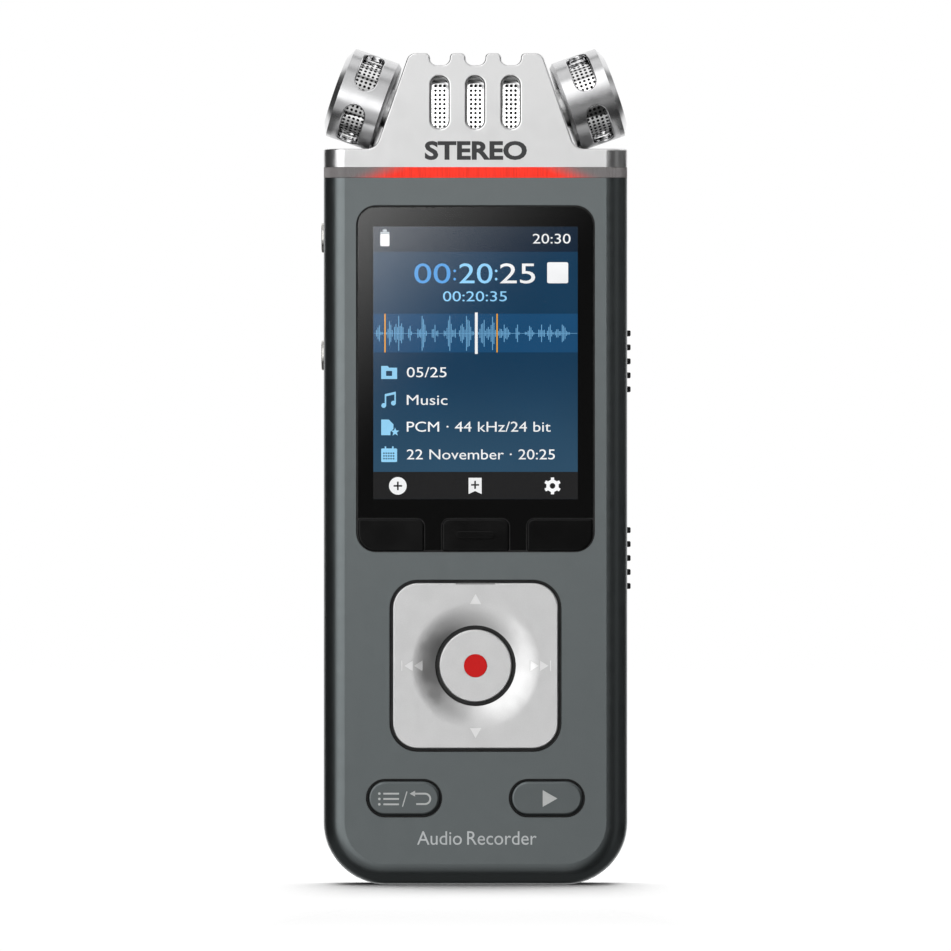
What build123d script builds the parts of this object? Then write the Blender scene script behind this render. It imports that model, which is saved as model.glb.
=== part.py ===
from build123d import *
from math import asin, cos, degrees, hypot, radians, sin, sqrt, tan
import os

# Handheld stereo voice recorder, in millimetres.
# X runs to the user's right, Y from the display side to the back, and Z is up.
# The origin is on the flat base, in the middle of the width and of the depth.

# Case
CASE_WIDTH = 45.5
CASE_DEPTH = 18.0
CASE_TOP = 105.9
CASE_CORNER = 9.3  # bottom corners, seen from the front
LONG_EDGE_RADIUS = 3.15
SIDE_WALL = 1.5
FRONT_WALL = 2.0
BACK_WALL = 1.8
INNER_EDGE_RADIUS = 1.65
PARTING_Y = 4.5
SEAM_WIDTH = 0.3
SEAM_DEPTH = 0.25
ASSEMBLY_GAP = 0.05

HALF_WIDTH = CASE_WIDTH / 2
FRONT_Y = -CASE_DEPTH / 2
BACK_Y = CASE_DEPTH / 2
INNER_X = HALF_WIDTH - SIDE_WALL
INNER_FRONT = FRONT_Y + FRONT_WALL
INNER_BACK = BACK_Y - BACK_WALL

# Light band and microphone head
BAND_TOP = 107.5
NECK_GAP = 0.1
NECK_BOTTOM = 102.0
NECK_WALL = 1.5
BASE_TOP = 110.25
HEAD_TOP = 124.6
SHOULDER_ANGLE = 19.2  # slope of the head's sides, from vertical
SHOULDER_X = 14.95  # where a side meets the top of the base
SHOULDER_FILLET = 2.0
HEAD_EDGE_RADIUS = 0.25
BEND_START = 115.4  # above this height the front and back faces bend inward
BEND_RADIUS = 38.0
FACE_LEAN = 5.0  # slope of the faces above the bend, from vertical
CREST_RADIUS = 0.7
CREST_CORNER = 1.4
GROOVE_PITCH = 5.33
GROOVE_WIDTH = 2.95
GROOVE_DEPTH = 1.8
GROOVE_RADIUS = 1.05
SLOT_WIDTH = 2.5
SLOT_BOTTOM = 113.3
SLOT_TOP = 121.0
SLOT_RIM = 0.38
MESH_THICKNESS = 0.2
CLOTH_THICKNESS = 0.5
CHAMBER_Y = 7.5
CHAMBER_TOP = 121.6
CHAMBER_WALL = 1.48

# Ring microphones, measured along the ring's own axis from its middle
RING_X = 16.95
RING_Z = 117.75
RING_TOE = 2.5  # each ring's outer end points slightly backward
RING_RADIUS = 6.93
RING_INNER = 6.0
RING_START = -3.92
RING_END = 4.2
RING_CHAMFER_AXIAL = 0.8
RING_CHAMFER_RADIAL = 1.5
RING_INNER_CHAMFER = 0.5
RING_FLOOR = 0.9
RING_CLEARANCE = 7.13
RING_SLOT_WIDTH = 3.15
RING_SLOT_ARC = 68.0
RING_SLOTS = 4
RIM_RADIUS = 0.22  # rounding round a ring's slots
HUB_RADIUS = 3.0
HUB_END = -2.4
CAP_RADIUS = 4.85

# Display
PANEL_WIDTH = 35.8
PANEL_BOTTOM = 49.8
PANEL_TOP = 101.8
PANEL_CORNER = 3.0
PANEL_GAP = 0.3
LEDGE_FRONT = -7.8
LEDGE_BACK = -7.2
WINDOW_FRONT = -8.9
MASK_THICKNESS = 0.1
ACTIVE_WIDTH = 30.6
ACTIVE_HEIGHT = 40.8
ACTIVE_Z = 78.175
GLASS_WIDTH = 34.6
GLASS_BOTTOM = 55.3
GLASS_TOP = 100.3
GLASS_FRONT = -7.15
GLASS_BACK = -6.2
BACKLIGHT_BACK = -4.7
FRAME_BACK = -4.45

# Keys
KEY_TRAVEL = 0.4
KEY_GAP = 0.15
SOFT_KEY_Z = 52.4
SOFT_KEY_HEIGHT = 4.8
SOFT_KEY_CORNER = 1.1
SOFT_KEY_FRONT = -9.25
SIDE_KEY_WIDTH = 9.85
SIDE_KEY_X = 12.625
MIDDLE_KEY_WIDTH = 10.06
STEM_WIDTH = 6.8
STEM_HEIGHT = 2.8
FOOT_WIDTH = 8.6
FOOT_HEIGHT = 4.0
FOOT_THICKNESS = 0.6
PILL_X = 10.7
PILL_Z = 12.97
PILL_WIDTH = 10.85
PILL_HEIGHT = 5.2
PILL_GAP = 0.3
PILL_FRONT = -9.3

# Navigation pad and record button
NAV_Z = 32.8
NAV_SIZE = 24.8
NAV_CORNER = 3.8
NAV_GAP = 0.5
NAV_FRONT = -9.35
NAV_PLATE_BACK = -7.2
NAV_FLANGE_SIZE = 27.6
NAV_FLANGE_FRONT = -6.4
NAV_FLANGE_BACK = -5.7
NAV_POCKET_RADIUS = 8.4
NAV_PLUNGER_REACH = 10.0
NAV_PLUNGER_END = -4.25
NAV_EDGE_RADIUS = 0.2
NOTCH_HALF = 2.95  # half the width of the notch in the pad's top edge
NOTCH_DEPTH = 0.22
DISH_RADIUS = 9.7
DISH_CURVE = 13.5  # radius of the hollow's section
MARK_DEPTH = 0.12
MARK_HALF = 0.84  # half the width of an arrow's base
RECORD_HOLE_RADIUS = 6.05
RECORD_RADIUS = 5.45
RECORD_FRONT = -9.0
RECORD_FLANGE_RADIUS = 6.5
RECORD_FLANGE_FRONT = -6.9
RECORD_FLANGE_BACK = -6.3
DOT_RADIUS = 1.73
PIVOT_Y = -6.5
PIVOT_THICKNESS = 0.8
PIVOT_OUTER = 8.0
PIVOT_INNER = 6.9

# Circuit board and switch domes
BOARD_FRONT = -3.6
BOARD_BACK = -2.6
BOARD_INSET = 2.35
BOARD_TOP = 101.5
DOME_HEIGHT = 0.35
DOME_RADIUS = 2.0
PLUNGER_RADIUS = 1.0
PLUNGER_END = BOARD_FRONT - DOME_HEIGHT - KEY_TRAVEL - ASSEMBLY_GAP

# Screws and tripod thread
LOW_SCREW = (17.0, 6.6)
HIGH_SCREW = (19.1, 89.0)
BOSS_RADIUS = 1.6
SCREW_RADIUS = 0.85
SCREW_HOLE_RADIUS = 0.9
SCREW_HEAD_RADIUS = 1.55
SCREW_HEAD_THICKNESS = 0.95
SCREW_SEAT_Y = 7.6
SCREW_TIP_Y = -1.0
TRIPOD_Z = 84.0
TRIPOD_OUTER = 4.2
TRIPOD_BORE = 2.55
TRIPOD_INNER_END = 3.2
TRIPOD_DEPTH = 5.4

# Side controls and sockets
JACK_Y = 0.4
HEADPHONE_Z = 97.0
MIC_JACK_Z = 79.35
JACK_BORE = 1.775
JACK_DEPTH = 14.0
JACK_BODY_RADIUS = 3.0
COLLAR_RADIUS = 2.25
COLLAR_PROUD = 0.4
POWER_SWITCH_Z = 78.45
HOLD_SWITCH_Z = 48.9
SLIDE_TRAVEL = 2.0
KNOB_LENGTH = 10.5
KNOB_HEIGHT = 3.8
KNOB_PLATE = 0.8
RIB_COUNT = 5
RIB_PITCH = 2.1
RIB_HEIGHT = 0.88
RIB_PROUD = 0.55
RECESS_DEPTH = 0.9
USB_Y = -0.95
USB_WIDTH = 8.94
USB_THICKNESS = 3.26
USB_LENGTH = 7.4

# Battery and speaker
BATTERY_X = -1.5
BATTERY_WIDTH = 34.0
BATTERY_BOTTOM = 32.0
BATTERY_TOP = 73.0
BATTERY_FRONT = -1.2
BATTERY_BACK = 6.0
SPEAKER_Z = 18.0
SPEAKER_RADIUS = 8.0
SPEAKER_FRONT = 2.8
SPEAKER_BACK = 6.6
GRILLE_RADIUS = 5.6
GRILLE_HOLE = 0.6
GRILLE_PITCH = 1.9


# --- Shapes used in many places ---


def front_plane(x, y, z):
    """A drawing plane that faces the front, with its own axes along X and Z."""
    return Plane(origin=(x, y, z), x_dir=(1, 0, 0), z_dir=(0, -1, 0))


def block(low, high):
    """A box from its lowest corner to its highest."""
    size = [high[i] - low[i] for i in range(3)]
    middle = [(high[i] + low[i]) / 2 for i in range(3)]
    return Pos(*middle) * Box(*size)


def slab(x, z, width, height, corner, y0, y1):
    """A plate seen from the front as a rounded rectangle, between two depths."""
    return extrude(front_plane(x, y1, z) * RectangleRounded(width, height, corner), y1 - y0)


def peg(x, z, radius, y0, y1):
    """A round bar along Y."""
    return extrude(front_plane(x, y1, z) * Circle(radius), y1 - y0)


def side_peg(y, z, radius, x0, x1):
    """A round bar along X."""
    plane = Plane(origin=(x0, y, z), x_dir=(0, 1, 0), z_dir=(1, 0, 0))
    return extrude(plane * Circle(radius), x1 - x0)


def front_edges(solid):
    """The edges round the foremost face of a solid."""
    return solid.faces().sort_by(Axis.Y)[0].edges()


def mirrored(shape):
    """The same shape on the other side of the recorder."""
    return mirror(shape, Plane.YZ)


def upright_section(width, depth, corner, z0, z1, y=0.0):
    """A rounded rectangle seen from above, between two heights."""
    return extrude(Plane(origin=(0, y, z0)) * RectangleRounded(width, depth, corner), z1 - z0)


# --- Case ---


def case_prism(inset, top, y0, y1):
    """The case's front outline, drawn in by an inset, between two depths."""
    width = CASE_WIDTH - 2 * inset
    outline = Pos(0, (inset + top) / 2) * Rectangle(width, top - inset)
    outline = fillet(outline.vertices().group_by(Axis.Y)[0], CASE_CORNER - inset)
    return extrude(front_plane(0, y1, 0) * outline, y1 - y0)


def with_long_edges_rounded(solid, top, radius):
    """Rounds the front and back edges all the way round, but not along the open top."""
    faces = solid.faces().sort_by(Axis.Y)
    edges = faces[0].edges() + faces[-1].edges()
    return fillet([edge for edge in edges if edge.center().Z < top - 0.01], radius)


def make_case_shell():
    outside = case_prism(0, CASE_TOP, FRONT_Y, BACK_Y)
    outside = with_long_edges_rounded(outside, CASE_TOP, LONG_EDGE_RADIUS)
    inside = case_prism(SIDE_WALL, CASE_TOP, INNER_FRONT, INNER_BACK)
    inside = with_long_edges_rounded(inside, CASE_TOP, INNER_EDGE_RADIUS)
    return outside - inside


def seam_groove():
    """The narrow groove that runs round the case where the two shells meet."""
    y0 = PARTING_Y - SEAM_WIDTH / 2
    y1 = PARTING_Y + SEAM_WIDTH / 2
    return case_prism(-1, CASE_TOP, y0, y1) - case_prism(SEAM_DEPTH, CASE_TOP, y0, y1)


def screw_places():
    """Each case screw's place, seen from the front."""
    return [(side * x, z) for x, z in (LOW_SCREW, HIGH_SCREW) for side in (-1, 1)]


def screw_boss(x, z, y0, y1):
    """A boss with a web that ties it to the nearest side wall."""
    web_end = (INNER_X + 0.3) * (1 if x > 0 else -1)
    low_x, high_x = sorted((x, web_end))
    web = block((low_x, y0, z - 0.5), (high_x, y1, z + 0.5))
    return peg(x, z, BOSS_RADIUS, y0, y1) + web


def slide_places():
    return [POWER_SWITCH_Z, HOLD_SWITCH_Z]


def slide_recess(z):
    """The shallow track for a slide knob, and the slot for its stem."""
    length = KNOB_LENGTH + 2 * SLIDE_TRAVEL
    half_height = KNOB_HEIGHT / 2 + 0.2
    track = block(
        (HALF_WIDTH - RECESS_DEPTH, -half_height, z - length / 2 - 0.1),
        (HALF_WIDTH + 1, half_height, z + length / 2 + 0.1),
    )
    slot = block((INNER_X - 1, -1.0, z - 3.8), (HALF_WIDTH, 1.0, z + 3.8))
    return track + slot


def key_openings():
    """Openings for the pad, the two pill keys and the stems of the soft keys."""
    cut = slab(0, NAV_Z, NAV_SIZE + 2 * NAV_GAP, NAV_SIZE + 2 * NAV_GAP, NAV_CORNER + NAV_GAP, -10, 0)
    height = PILL_HEIGHT + 2 * PILL_GAP
    for x in (-PILL_X, PILL_X):
        cut += slab(x, PILL_Z, PILL_WIDTH + 2 * PILL_GAP, height, height / 2 - 0.01, -10, 0)
    for x in (-SIDE_KEY_X, 0, SIDE_KEY_X):
        cut += slab(x, SOFT_KEY_Z, STEM_WIDTH + 0.2, STEM_HEIGHT + 0.2, 0.5, -10, 0)
    return cut


def make_front_cover(shell):
    cover = shell & block((-30, -12, -1), (30, PARTING_Y, CASE_TOP + 1))
    cover -= seam_groove()
    panel_z = (PANEL_TOP + PANEL_BOTTOM) / 2
    panel_height = PANEL_TOP - PANEL_BOTTOM
    cover -= slab(0, panel_z, PANEL_WIDTH, panel_height, PANEL_CORNER, -10, LEDGE_FRONT)
    cover -= slab(0, ACTIVE_Z, ACTIVE_WIDTH + 0.8, ACTIVE_HEIGHT + 0.8, 0.5, -10, -6)
    glass_z = (GLASS_TOP + GLASS_BOTTOM) / 2
    glass_height = GLASS_TOP - GLASS_BOTTOM
    cover -= slab(0, glass_z, GLASS_WIDTH + 0.3, glass_height + 0.3, 0.5, LEDGE_BACK, -6)
    cover -= key_openings()
    for x, z in screw_places():
        cover += screw_boss(x, z, INNER_FRONT - 0.2, PARTING_Y)
        cover -= peg(x, z, SCREW_HOLE_RADIUS, SCREW_TIP_Y - 0.5, PARTING_Y + 1)
    for z in (HEADPHONE_Z, MIC_JACK_Z):
        cover -= side_peg(JACK_Y, z, COLLAR_RADIUS + ASSEMBLY_GAP, -HALF_WIDTH - 1, -INNER_X + 1)
    for z in slide_places():
        cover -= slide_recess(z)
    cover -= upright_section(USB_WIDTH + 0.4, USB_THICKNESS + 0.4, 1.8, -1, SIDE_WALL + 1, USB_Y)
    return cover


def grille_holes(radius, hole, pitch):
    """Round holes on a hexagonal grid inside a circle, as places in a plane."""
    places = []
    rows = int(radius / (pitch * sin(radians(60)))) + 1
    for row in range(-rows, rows + 1):
        shift = pitch / 2 * (row % 2)
        for column in range(-rows - 1, rows + 2):
            x = column * pitch + shift
            y = row * pitch * sin(radians(60))
            if x * x + y * y <= (radius - hole) ** 2:
                places.append((x, y))
    return places


def rear_lip():
    """A thin tongue on the rear shell that locates inside the front shell."""
    y0 = PARTING_Y - 0.8
    y1 = PARTING_Y + 0.5
    outer = case_prism(SIDE_WALL + ASSEMBLY_GAP, NECK_BOTTOM - 0.3, y0, y1)
    inner = case_prism(SIDE_WALL + 0.5, NECK_BOTTOM + 1, y0 - 1, y1 + 1)
    lip = outer - inner
    for x, z in screw_places():
        lip -= block((abs(x) - 3, y0 - 1, z - 1.9), (30, PARTING_Y, z + 1.9))
        lip -= block((-30, y0 - 1, z - 1.9), (3 - abs(x), PARTING_Y, z + 1.9))
    return lip


def make_rear_cover(shell):
    cover = shell & block((-30, PARTING_Y, -1), (30, 12, CASE_TOP + 1))
    cover -= seam_groove()
    cover += rear_lip()
    for x, z in screw_places():
        cover += screw_boss(x, z, PARTING_Y, INNER_BACK + 0.2)
        cover -= peg(x, z, SCREW_RADIUS + 0.15, PARTING_Y - 1, BACK_Y + 1)
        cover -= peg(x, z, SCREW_HEAD_RADIUS + 0.2, SCREW_SEAT_Y, BACK_Y + 1)
    cover += peg(0, TRIPOD_Z, TRIPOD_OUTER + 1.2, TRIPOD_INNER_END + 0.3, INNER_BACK + 0.2)
    cover -= peg(0, TRIPOD_Z, TRIPOD_OUTER, 0, BACK_Y + 1)
    holes = [
        peg(x, SPEAKER_Z + z, GRILLE_HOLE, INNER_BACK - 1, BACK_Y + 1)
        for x, z in grille_holes(GRILLE_RADIUS, GRILLE_HOLE, GRILLE_PITCH)
    ]
    return cover - holes


def make_case_screws():
    """Four pan-head screws with a cross recess, driven in from the back."""
    screws = []
    head_top = SCREW_SEAT_Y + SCREW_HEAD_THICKNESS
    for x, z in screw_places():
        screw = peg(x, z, SCREW_RADIUS, SCREW_TIP_Y, SCREW_SEAT_Y + 0.1)
        head = peg(x, z, SCREW_HEAD_RADIUS, SCREW_SEAT_Y, head_top)
        screw += chamfer(head.faces().sort_by(Axis.Y)[-1].edges(), 0.25)
        for half_x, half_z in ((0.95, 0.2), (0.2, 0.95)):
            screw -= block((x - half_x, head_top - 0.6, z - half_z), (x + half_x, head_top + 1, z + half_z))
        screws.append(screw)
    return Compound(children=screws)


def make_tripod_insert():
    """A threaded brass bush for a quarter-inch camera screw."""
    bush = peg(0, TRIPOD_Z, TRIPOD_OUTER, TRIPOD_INNER_END, BACK_Y)
    bush = chamfer(bush.faces().sort_by(Axis.Y)[-1].edges(), 0.2)
    return bush - peg(0, TRIPOD_Z, TRIPOD_BORE, BACK_Y - TRIPOD_DEPTH, BACK_Y + 1)


# --- Light band and head ---


def neck_section(gap, z0, z1):
    """The head's neck, grown by a gap, seen from above."""
    width = 2 * (INNER_X - NECK_GAP) + 2 * gap
    depth = INNER_BACK - INNER_FRONT - 2 * NECK_GAP + 2 * gap
    middle = (INNER_BACK + INNER_FRONT) / 2
    return upright_section(width, depth, INNER_EDGE_RADIUS - 0.05 + gap, z0, z1, middle)


def make_light_band():
    band = upright_section(CASE_WIDTH, CASE_DEPTH, LONG_EDGE_RADIUS, CASE_TOP, BAND_TOP)
    return band - neck_section(ASSEMBLY_GAP, CASE_TOP - 1, BAND_TOP + 1)


def groove_places():
    return [-GROOVE_PITCH, 0, GROOVE_PITCH]


def shoulder_x(z):
    """Half the head's width at a height above the base."""
    return SHOULDER_X - (z - BASE_TOP) * tan(radians(SHOULDER_ANGLE))


def head_silhouette():
    """The head seen from the front: a full-width base, sloping sides and a grooved crest."""
    points = [(-HALF_WIDTH, BASE_TOP), (-HALF_WIDTH, BAND_TOP), (HALF_WIDTH, BAND_TOP)]
    points += [(HALF_WIDTH, BASE_TOP), (SHOULDER_X, BASE_TOP), (shoulder_x(HEAD_TOP), HEAD_TOP)]
    for x in reversed(groove_places()):
        right = x + GROOVE_WIDTH / 2
        left = x - GROOVE_WIDTH / 2
        floor = HEAD_TOP - GROOVE_DEPTH
        points += [(right, HEAD_TOP), (right, floor), (left, floor), (left, HEAD_TOP)]
    points += [(-shoulder_x(HEAD_TOP), HEAD_TOP), (-SHOULDER_X, BASE_TOP)]
    face = make_face(Polyline(*points, close=True))
    shoulders = [v for v in face.vertices() if abs(abs(v.X) - SHOULDER_X) < 0.01 and v.Y > BAND_TOP]
    face = fillet(shoulders, SHOULDER_FILLET)
    crest = face.vertices().group_by(Axis.Y)[-1].sort_by(Axis.X)
    face = fillet(crest[1:-1], CREST_RADIUS)
    crest = face.vertices().group_by(Axis.Y)[-1].sort_by(Axis.X)
    face = fillet([crest[0], crest[-1]], CREST_CORNER)
    floor_corners = [v for v in face.vertices() if abs(v.Y - (HEAD_TOP - GROOVE_DEPTH)) < 0.01]
    return fillet(floor_corners, GROOVE_RADIUS)


def face_depth(z):
    """Half the head's depth at a height: upright, then an arc inward, then a straight lean."""
    rise = max(0, z - BEND_START)
    arc_rise = BEND_RADIUS * sin(radians(FACE_LEAN))
    if rise < arc_rise:
        return BACK_Y - BEND_RADIUS + sqrt(BEND_RADIUS**2 - rise**2)
    arc_depth = BEND_RADIUS * (1 - cos(radians(FACE_LEAN)))
    return BACK_Y - arc_depth - (rise - arc_rise) * tan(radians(FACE_LEAN))


def bend_cutter(side):
    """What is taken off the front (-1) or back (1) so that the face bends inward."""
    bend_end = BEND_START + BEND_RADIUS * sin(radians(FACE_LEAN))
    middle = BEND_START + BEND_RADIUS * sin(radians(FACE_LEAN / 2))
    top = HEAD_TOP + 2
    start_point = (side * BACK_Y, BEND_START)
    end_point = (side * face_depth(bend_end), bend_end)
    outline = ThreePointArc(start_point, (side * face_depth(middle), middle), end_point)
    top_point = (side * face_depth(top), top)
    outline += Polyline(end_point, top_point, (side * 12, top), (side * 12, BEND_START), start_point)
    plane = Plane(origin=(-20, 0, 0), x_dir=(0, 1, 0), z_dir=(1, 0, 0))
    return extrude(plane * make_face(outline), 40)


def outline_edges(solid):
    """The edges between the head's front and back faces and its sides, crest and grooves."""
    chosen = []
    for edge in solid.edges():
        middle = edge.position_at(0.5)
        on_face = abs(abs(middle.Y) - face_depth(middle.Z)) < 0.01
        along_side = abs(edge.tangent_at(0.5).Y) < 0.3
        across_face = abs(middle.X) < 1 and edge.length > 15
        if on_face and along_side and not across_face and middle.Z > BAND_TOP + 0.1:
            chosen.append(edge)
    return chosen


def head_block():
    solid = extrude(front_plane(0, BACK_Y, 0) * head_silhouette(), CASE_DEPTH)
    solid -= bend_cutter(-1)
    solid -= bend_cutter(1)
    uprights = [e for e in solid.edges() if abs(abs(e.center().X) - HALF_WIDTH) < 0.01
                and abs(abs(e.center().Y) - BACK_Y) < 0.01 and abs(e.tangent_at(0.5).Z) > 0.9]
    solid = fillet(uprights, LONG_EDGE_RADIUS)
    return fillet(outline_edges(solid), HEAD_EDGE_RADIUS)


def ring_location():
    """The right ring's own frame: its Z is the ring's axis, which points outward, up and slightly back."""
    tilt = radians(SHOULDER_ANGLE)
    toe = radians(RING_TOE)
    axis = (cos(tilt) * cos(toe), sin(toe), sin(tilt) * cos(toe))
    across = (-cos(tilt) * sin(toe), cos(toe), -sin(tilt) * sin(toe))
    return Plane(origin=(RING_X, 0, RING_Z), x_dir=across, z_dir=axis)


def drum(radius, start, end):
    """A cylinder along the right ring's axis."""
    return extrude(ring_location().offset(start) * Circle(radius), end - start)


def both_sides(shape):
    return shape + mirrored(shape)


def sound_chamber():
    """The hollow behind the front slots, open into the neck."""
    foot = shoulder_x(BASE_TOP - 1) - CHAMBER_WALL
    crown = shoulder_x(CHAMBER_TOP) - CHAMBER_WALL
    outline = make_face(
        Polyline((-foot, BASE_TOP - 2), (foot, BASE_TOP - 2), (crown, CHAMBER_TOP), (-crown, CHAMBER_TOP), close=True)
    )
    chamber = extrude(front_plane(0, CHAMBER_Y, 0) * outline, 2 * CHAMBER_Y)
    neck_x = INNER_X - NECK_GAP - NECK_WALL
    neck_front = INNER_FRONT + NECK_GAP + NECK_WALL
    neck_back = INNER_BACK - NECK_GAP - NECK_WALL
    neck = block((-neck_x, neck_front, NECK_BOTTOM - 1), (neck_x, neck_back, BASE_TOP - 1.45))
    return chamber + neck


def slot_rims(head):
    """The outer edges of the slots in the head's front and back faces."""
    rims = []
    for edge in head.edges():
        points = [edge.position_at(share) for share in (0.1, 0.5, 0.9)]
        near_slot = any(abs(points[1].X - x) < SLOT_WIDTH / 2 + 0.01 for x in groove_places())
        on_face = all(abs(abs(point.Y) - face_depth(point.Z)) < 0.01 for point in points)
        in_slot = all(SLOT_BOTTOM - 0.01 < point.Z < SLOT_TOP + 0.01 for point in points)
        if near_slot and on_face and in_slot and edge.length > 0.1:
            rims.append(edge)
    return rims


def make_mic_head():
    head = head_block() + neck_section(0, NECK_BOTTOM, BAND_TOP)
    head -= both_sides(drum(RING_CLEARANCE, RING_START, RING_END + 4))
    head += both_sides(drum(HUB_RADIUS, RING_START - 0.5, HUB_END))
    head -= sound_chamber()
    head -= both_sides(drum(1.2, RING_START - 3, HUB_END + 1))
    slot_z = (SLOT_TOP + SLOT_BOTTOM) / 2
    slot_height = SLOT_TOP - SLOT_BOTTOM
    for x in groove_places():
        head -= slab(x, slot_z, SLOT_WIDTH, slot_height, SLOT_WIDTH / 2 - 0.01, -12, 12)
    head = fillet(slot_rims(head), SLOT_RIM)
    for x in led_places():
        head -= block((x - 1.6, -9, CASE_TOP), (x + 1.6, -5, BAND_TOP))
    return head


def is_ring_rim(edge, middle):
    """Whether an edge of the ring runs round the outside of a slot."""
    points = [edge.position_at(share) for share in (0.1, 0.5, 0.9)]
    outside = all(abs(hypot(point.X, point.Y) - RING_RADIUS) < 0.01 for point in points)
    return outside and all(abs(point.Z - middle) < RING_SLOT_WIDTH / 2 + 0.01 for point in points)


def ring_body():
    """One ring with four rounded slots, a closed floor and a wide bevel round its outer end."""
    bevel_start = RING_END - RING_CHAMFER_AXIAL
    face_radius = RING_RADIUS - RING_CHAMFER_RADIAL
    profile = make_face(
        Polyline(
            (HUB_RADIUS + ASSEMBLY_GAP, RING_START),
            (RING_RADIUS - RING_INNER_CHAMFER, RING_START),
            (RING_RADIUS, RING_START + RING_INNER_CHAMFER),
            (RING_RADIUS, bevel_start),
            (face_radius, RING_END),
            (CAP_RADIUS + ASSEMBLY_GAP, RING_END),
            (CAP_RADIUS + ASSEMBLY_GAP, RING_END - 1),
            (RING_INNER, RING_END - 1),
            (RING_INNER, RING_START + RING_FLOOR),
            (HUB_RADIUS + ASSEMBLY_GAP, RING_START + RING_FLOOR),
            close=True,
        )
    )
    ring = revolve(Plane.XZ * profile, Axis.Z)
    middle = (RING_START + RING_END) / 2
    end_angle = degrees(asin(RING_SLOT_WIDTH / 2 / RING_RADIUS))
    straight = RING_SLOT_ARC - 2 * end_angle
    for slot in range(RING_SLOTS):
        centre = 360 / RING_SLOTS * (slot + 0.5)
        about_axis = (Align.NONE, Align.NONE, Align.CENTER)
        sector = Cylinder(RING_RADIUS + 1, RING_SLOT_WIDTH, arc_size=straight, align=about_axis)
        ring -= Pos(0, 0, middle) * Rot(0, 0, centre - straight / 2) * sector
        for side in (-1, 1):
            end = Pos(RING_RADIUS, 0, 0) * Rot(0, 90, 0) * Cylinder(RING_SLOT_WIDTH / 2, 3)
            ring -= Pos(0, 0, middle) * Rot(0, 0, centre + side * straight / 2) * end
    rims = [edge for edge in ring.edges() if is_ring_rim(edge, middle)]
    return fillet(rims, RIM_RADIUS)


def in_ring(shape):
    """Moves a shape drawn about the Z axis into the right ring."""
    return ring_location().location * shape


def tube(outer, inner, z0, z1):
    middle = (z0 + z1) / 2
    return Pos(0, 0, middle) * (Cylinder(outer, z1 - z0) - Cylinder(inner, z1 - z0 + 1))


def disc(radius, z0, z1):
    return Pos(0, 0, (z0 + z1) / 2) * Cylinder(radius, z1 - z0)


def make_mic_mesh():
    return in_ring(tube(5.8, 5.6, RING_START + RING_FLOOR, RING_END - 1))


def make_mic_cap():
    """The perforated disc that closes the ring's outer end."""
    cap = disc(CAP_RADIUS, RING_END - 0.95, RING_END - 0.4)
    holes = [Pos(x, y, RING_END) * Cylinder(0.32, 4) for x, y in grille_holes(4.3, 0.32, 1.15)]
    return in_ring(cap - holes)


def make_mic_capsule():
    return in_ring(disc(4.0, -1.3, 2.3))


def make_mic_boot():
    """The rubber cup that holds a capsule off the ring."""
    return in_ring(tube(5.2, 4.0, -1.3, 1.5) + disc(5.2, HUB_END, -1.3))


def bent_sheet(start, thickness):
    """A sheet bent into an upturned U inside the sound chamber, start in from its walls."""
    outlines = []
    for inset in (start, start + thickness):
        half = CHAMBER_Y - inset
        top = CHAMBER_TOP - inset
        low = BASE_TOP + 1 - 5 * (inset - start)
        outline = Pos(0, (top + low) / 2) * Rectangle(2 * half, top - low)
        outlines.append(fillet(outline.vertices().group_by(Axis.Y)[-1], 2.1 - inset))
    plane = Plane(origin=(-8.4, 0, 0), x_dir=(0, 1, 0), z_dir=(1, 0, 0))
    return extrude(plane * (outlines[0] - outlines[1]), 16.8)


def make_center_mesh():
    """The perforated sheet behind the front and back slots, joined over the top."""
    return bent_sheet(0.1, MESH_THICKNESS)


def make_center_cloth():
    """Black acoustic cloth against the inside of the perforated sheet."""
    return bent_sheet(0.1 + MESH_THICKNESS + ASSEMBLY_GAP, CLOTH_THICKNESS)


def make_center_mic_capsule():
    return peg(0, 116.5, 3.0, -6.6, -3.6)


def make_center_mic_boot():
    return peg(0, 116.5, 3.8, -6.0, BOARD_BACK) - peg(0, 116.5, 3.0, -8, -3.6)


def led_places():
    return [-10, 0, 10]


def make_led_board():
    return block((-14, -4.4, GLASS_TOP + 0.3), (14, BOARD_FRONT, BAND_TOP - 0.2))


def make_status_leds():
    leds = [block((x - 0.8, -5.3, 106.0), (x + 0.8, -4.4, 107.0)) for x in led_places()]
    return Compound(children=leds)


def make_mic_flex():
    """The ribbon that joins the head's microphones to the main board."""
    return block((-3, BOARD_BACK, 96.0), (3, BOARD_BACK + 0.2, 118.0))


# --- Display ---


def soft_key_outline(width, corners):
    """A soft key seen from the front; corners are its radii at low left, low right, high right, high left."""
    outline = Rectangle(width, SOFT_KEY_HEIGHT)
    signs = [(-1, -1), (1, -1), (1, 1), (-1, 1)]
    for (x_sign, z_sign), radius in zip(signs, corners):
        place = (x_sign * width / 2, z_sign * SOFT_KEY_HEIGHT / 2)
        at_corner = [v for v in outline.vertices() if abs(v.X - place[0]) + abs(v.Y - place[1]) < 0.01]
        outline = fillet(at_corner, radius)
    return outline


def key_notches(y0, y1):
    """What the soft keys take out of the window and its mask."""
    top = SOFT_KEY_Z + SOFT_KEY_HEIGHT / 2 + KEY_GAP
    low = PANEL_BOTTOM - 1
    middle_half = MIDDLE_KEY_WIDTH / 2 + KEY_GAP
    side_start = SIDE_KEY_X - SIDE_KEY_WIDTH / 2 - KEY_GAP
    notches = None
    for left, right in ((-30, -side_start), (-middle_half, middle_half), (side_start, 30)):
        corner = SOFT_KEY_CORNER + KEY_GAP
        notch = slab((left + right) / 2, (top + low - 4) / 2, right - left, top - low + 4, corner, y0, y1)
        notches = notch if notches is None else notches + notch
    return notches


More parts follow.
